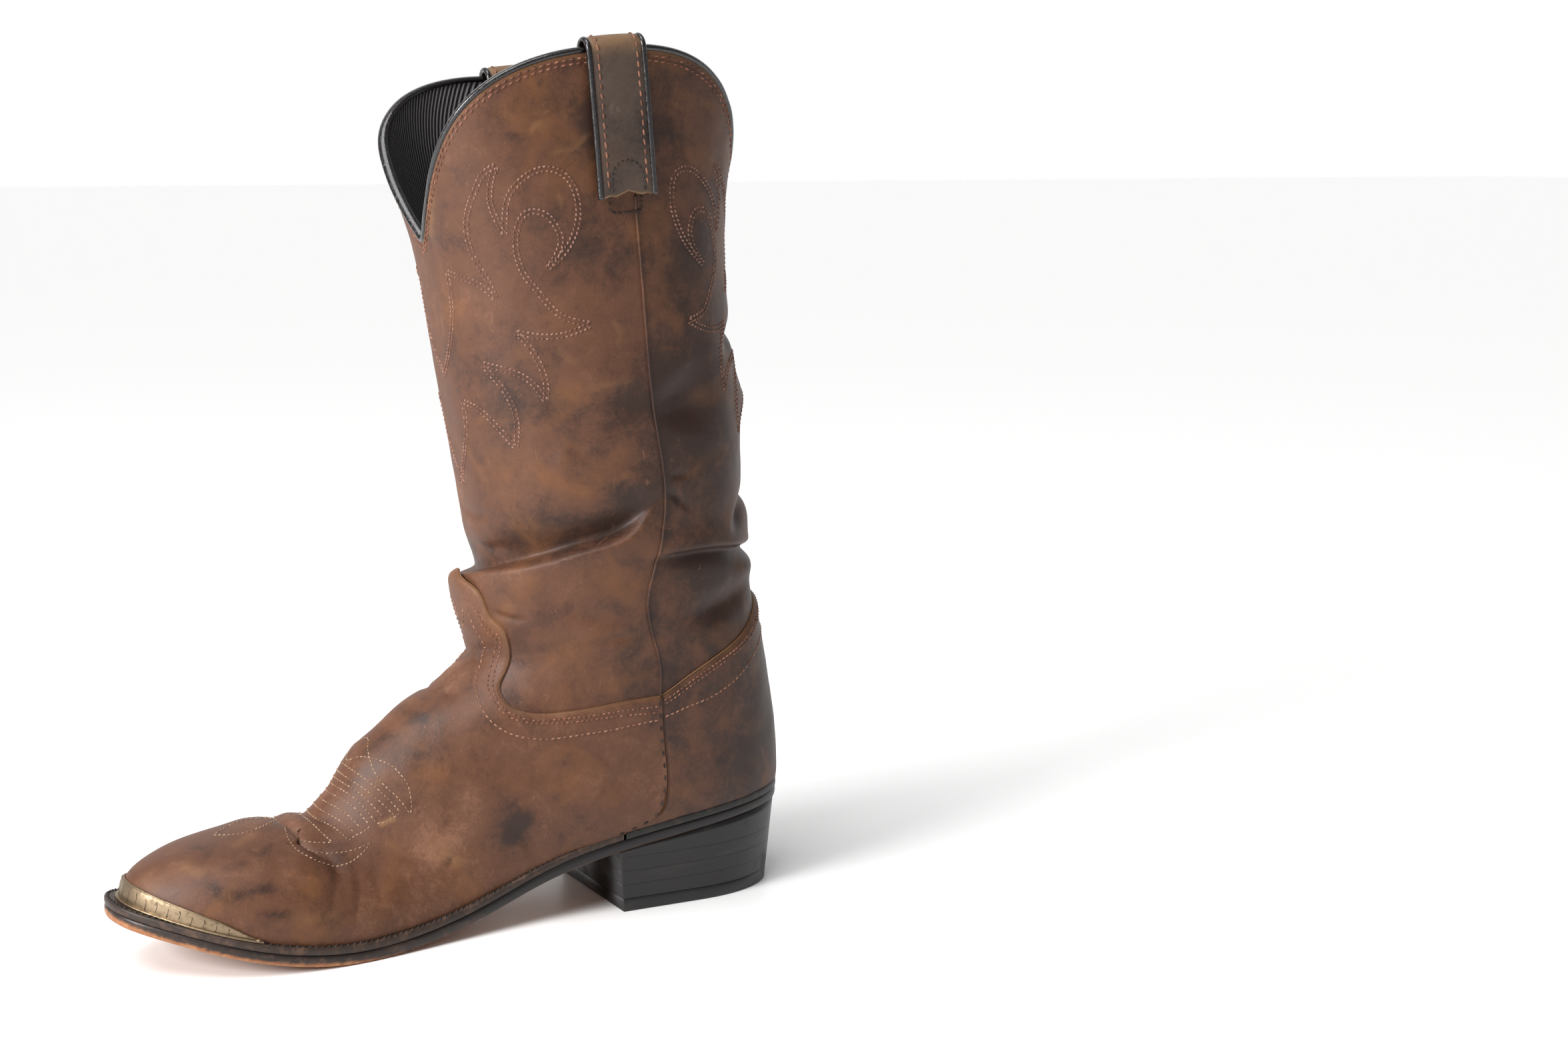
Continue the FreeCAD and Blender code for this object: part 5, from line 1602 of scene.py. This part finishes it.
TOE_LEAF = [(19.03, 0), (18.43, 6.5), (17.8, 9), (17.2, 6.5), (16.7, 1.5)]


def make_toe_stitches():
    out = VAMP_OUT + 0.02
    rows = [seam_line(over_ridge(places), out=out)
            for places in NINE_ROWS + [PETAL, ARC, BOWL, INNER_BOWL, LEAF_BOTTOM]]
    for mirror in (False, True):
        for places in ROW_ENDS + [TOE_LEAF]:
            rows.append(seam_line(places, out=out, mirror=mirror))
    sewn = stitches("toe_stitches", rows, THREAD_TAN, pitch=2.0, length=0.70, radius=0.28, slant=6)
    place_on(sewn, "foot", "brown_leather")


make_binding()
make_side_piping()
make_strap(1, "inner")
make_strap(-1, "outer")
make_outsole()
make_welt()
make_heel()
make_rand()
make_stitching()

CARRIED = {"cork_filler": CORK, "steel_shank": STEEL, "insole": BOARD, "sock_liner": SOCK, "heel_nails": NAIL}
for node, material in CARRIED.items():
    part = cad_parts[node]
    part.data.materials.clear()
    part.data.materials.append(material)

# ---------------------------------------------------------------- light, floor and camera

CAMERA_PLACE = (354.2, 971.0, 335.0)
CAMERA_HEADING = 28.0
CAMERA_PITCH = 8.9
LENS = 36.0 * 3600 / 2352


def make_camera():
    camera = bpy.data.objects.new("camera", bpy.data.cameras.new("camera"))
    camera.data.lens = LENS
    camera.data.sensor_width = 36.0
    camera.location = Vector(CAMERA_PLACE) * 0.001
    turn, dip = math.radians(CAMERA_HEADING), math.radians(CAMERA_PITCH)
    look = Vector((-math.sin(turn) * math.cos(dip), -math.cos(turn) * math.cos(dip), -math.sin(dip)))
    camera.rotation_euler = look.to_track_quat("-Z", "Y").to_euler()
    bpy.context.scene.collection.objects.link(camera)
    bpy.context.scene.camera = camera


def make_floor():
    n = Nodes("floor", 0.4, Specular_IOR_Level=0.3)
    share = n.noise(60, 2)
    color = n.mix(share, (0.960, 0.957, 0.953), (0.970, 0.967, 0.964))
    material = n.finish(color, n.between(share, 0.3, 0.7, 0.35, 0.45))
    bpy.ops.mesh.primitive_plane_add(size=40)
    floor = bpy.context.object
    floor.name = "floor"
    floor.data.materials.append(material)


def area_light(name, place, target, size, power, color=(1, 1, 1)):
    light = bpy.data.lights.new(name, "AREA")
    light.shape = "DISK"
    light.size = size
    light.energy = power
    light.color = color
    lamp = bpy.data.objects.new(name, light)
    lamp.location = place
    lamp.rotation_euler = (Vector(target) - Vector(place)).to_track_quat("-Z", "Y").to_euler()
    bpy.context.scene.collection.objects.link(lamp)


ROOM_LIGHT = 0.22


def make_world():
    """A white wall behind the boot, dimmer room light from everywhere else."""
    world = bpy.data.worlds.new("studio")
    world.use_nodes = True
    tree = world.node_tree
    where = tree.nodes.new("ShaderNodeTexCoord")
    facing = tree.nodes.new("ShaderNodeVectorMath")
    facing.operation = "DOT_PRODUCT"
    tree.nodes["Background"].inputs["Color"].default_value = (1.0, 1.0, 1.0, 1.0)
    turn = math.radians(CAMERA_HEADING)
    facing.inputs[1].default_value = (-math.sin(turn), -math.cos(turn), 0.0)
    share = tree.nodes.new("ShaderNodeMapRange")
    share.interpolation_type = "SMOOTHSTEP"
    share.inputs["From Min"].default_value = 0.25
    share.inputs["From Max"].default_value = 0.90
    share.inputs["To Min"].default_value = ROOM_LIGHT
    share.inputs["To Max"].default_value = 1.0
    tree.links.new(where.outputs["Generated"], facing.inputs[0])
    tree.links.new(facing.outputs["Value"], share.inputs["Value"])
    tree.links.new(share.outputs["Result"], tree.nodes["Background"].inputs["Strength"])
    bpy.context.scene.world = world



def make_lights():
    sun = bpy.data.lights.new("overhead", "SUN")
    sun.energy = 2.2
    sun.angle = math.radians(40)
    lamp = bpy.data.objects.new("overhead", sun)
    lamp.rotation_euler = Vector((-0.42, -0.16, -1.0)).to_track_quat("-Z", "Y").to_euler()
    bpy.context.scene.collection.objects.link(lamp)
    area_light("toe_side", (1.5, 0.5, 0.8), (0, 0, 0.20), 0.7, 36)
    bpy.context.scene.view_settings.view_transform = "Standard"


make_camera()
make_floor()
make_world()
make_lights()
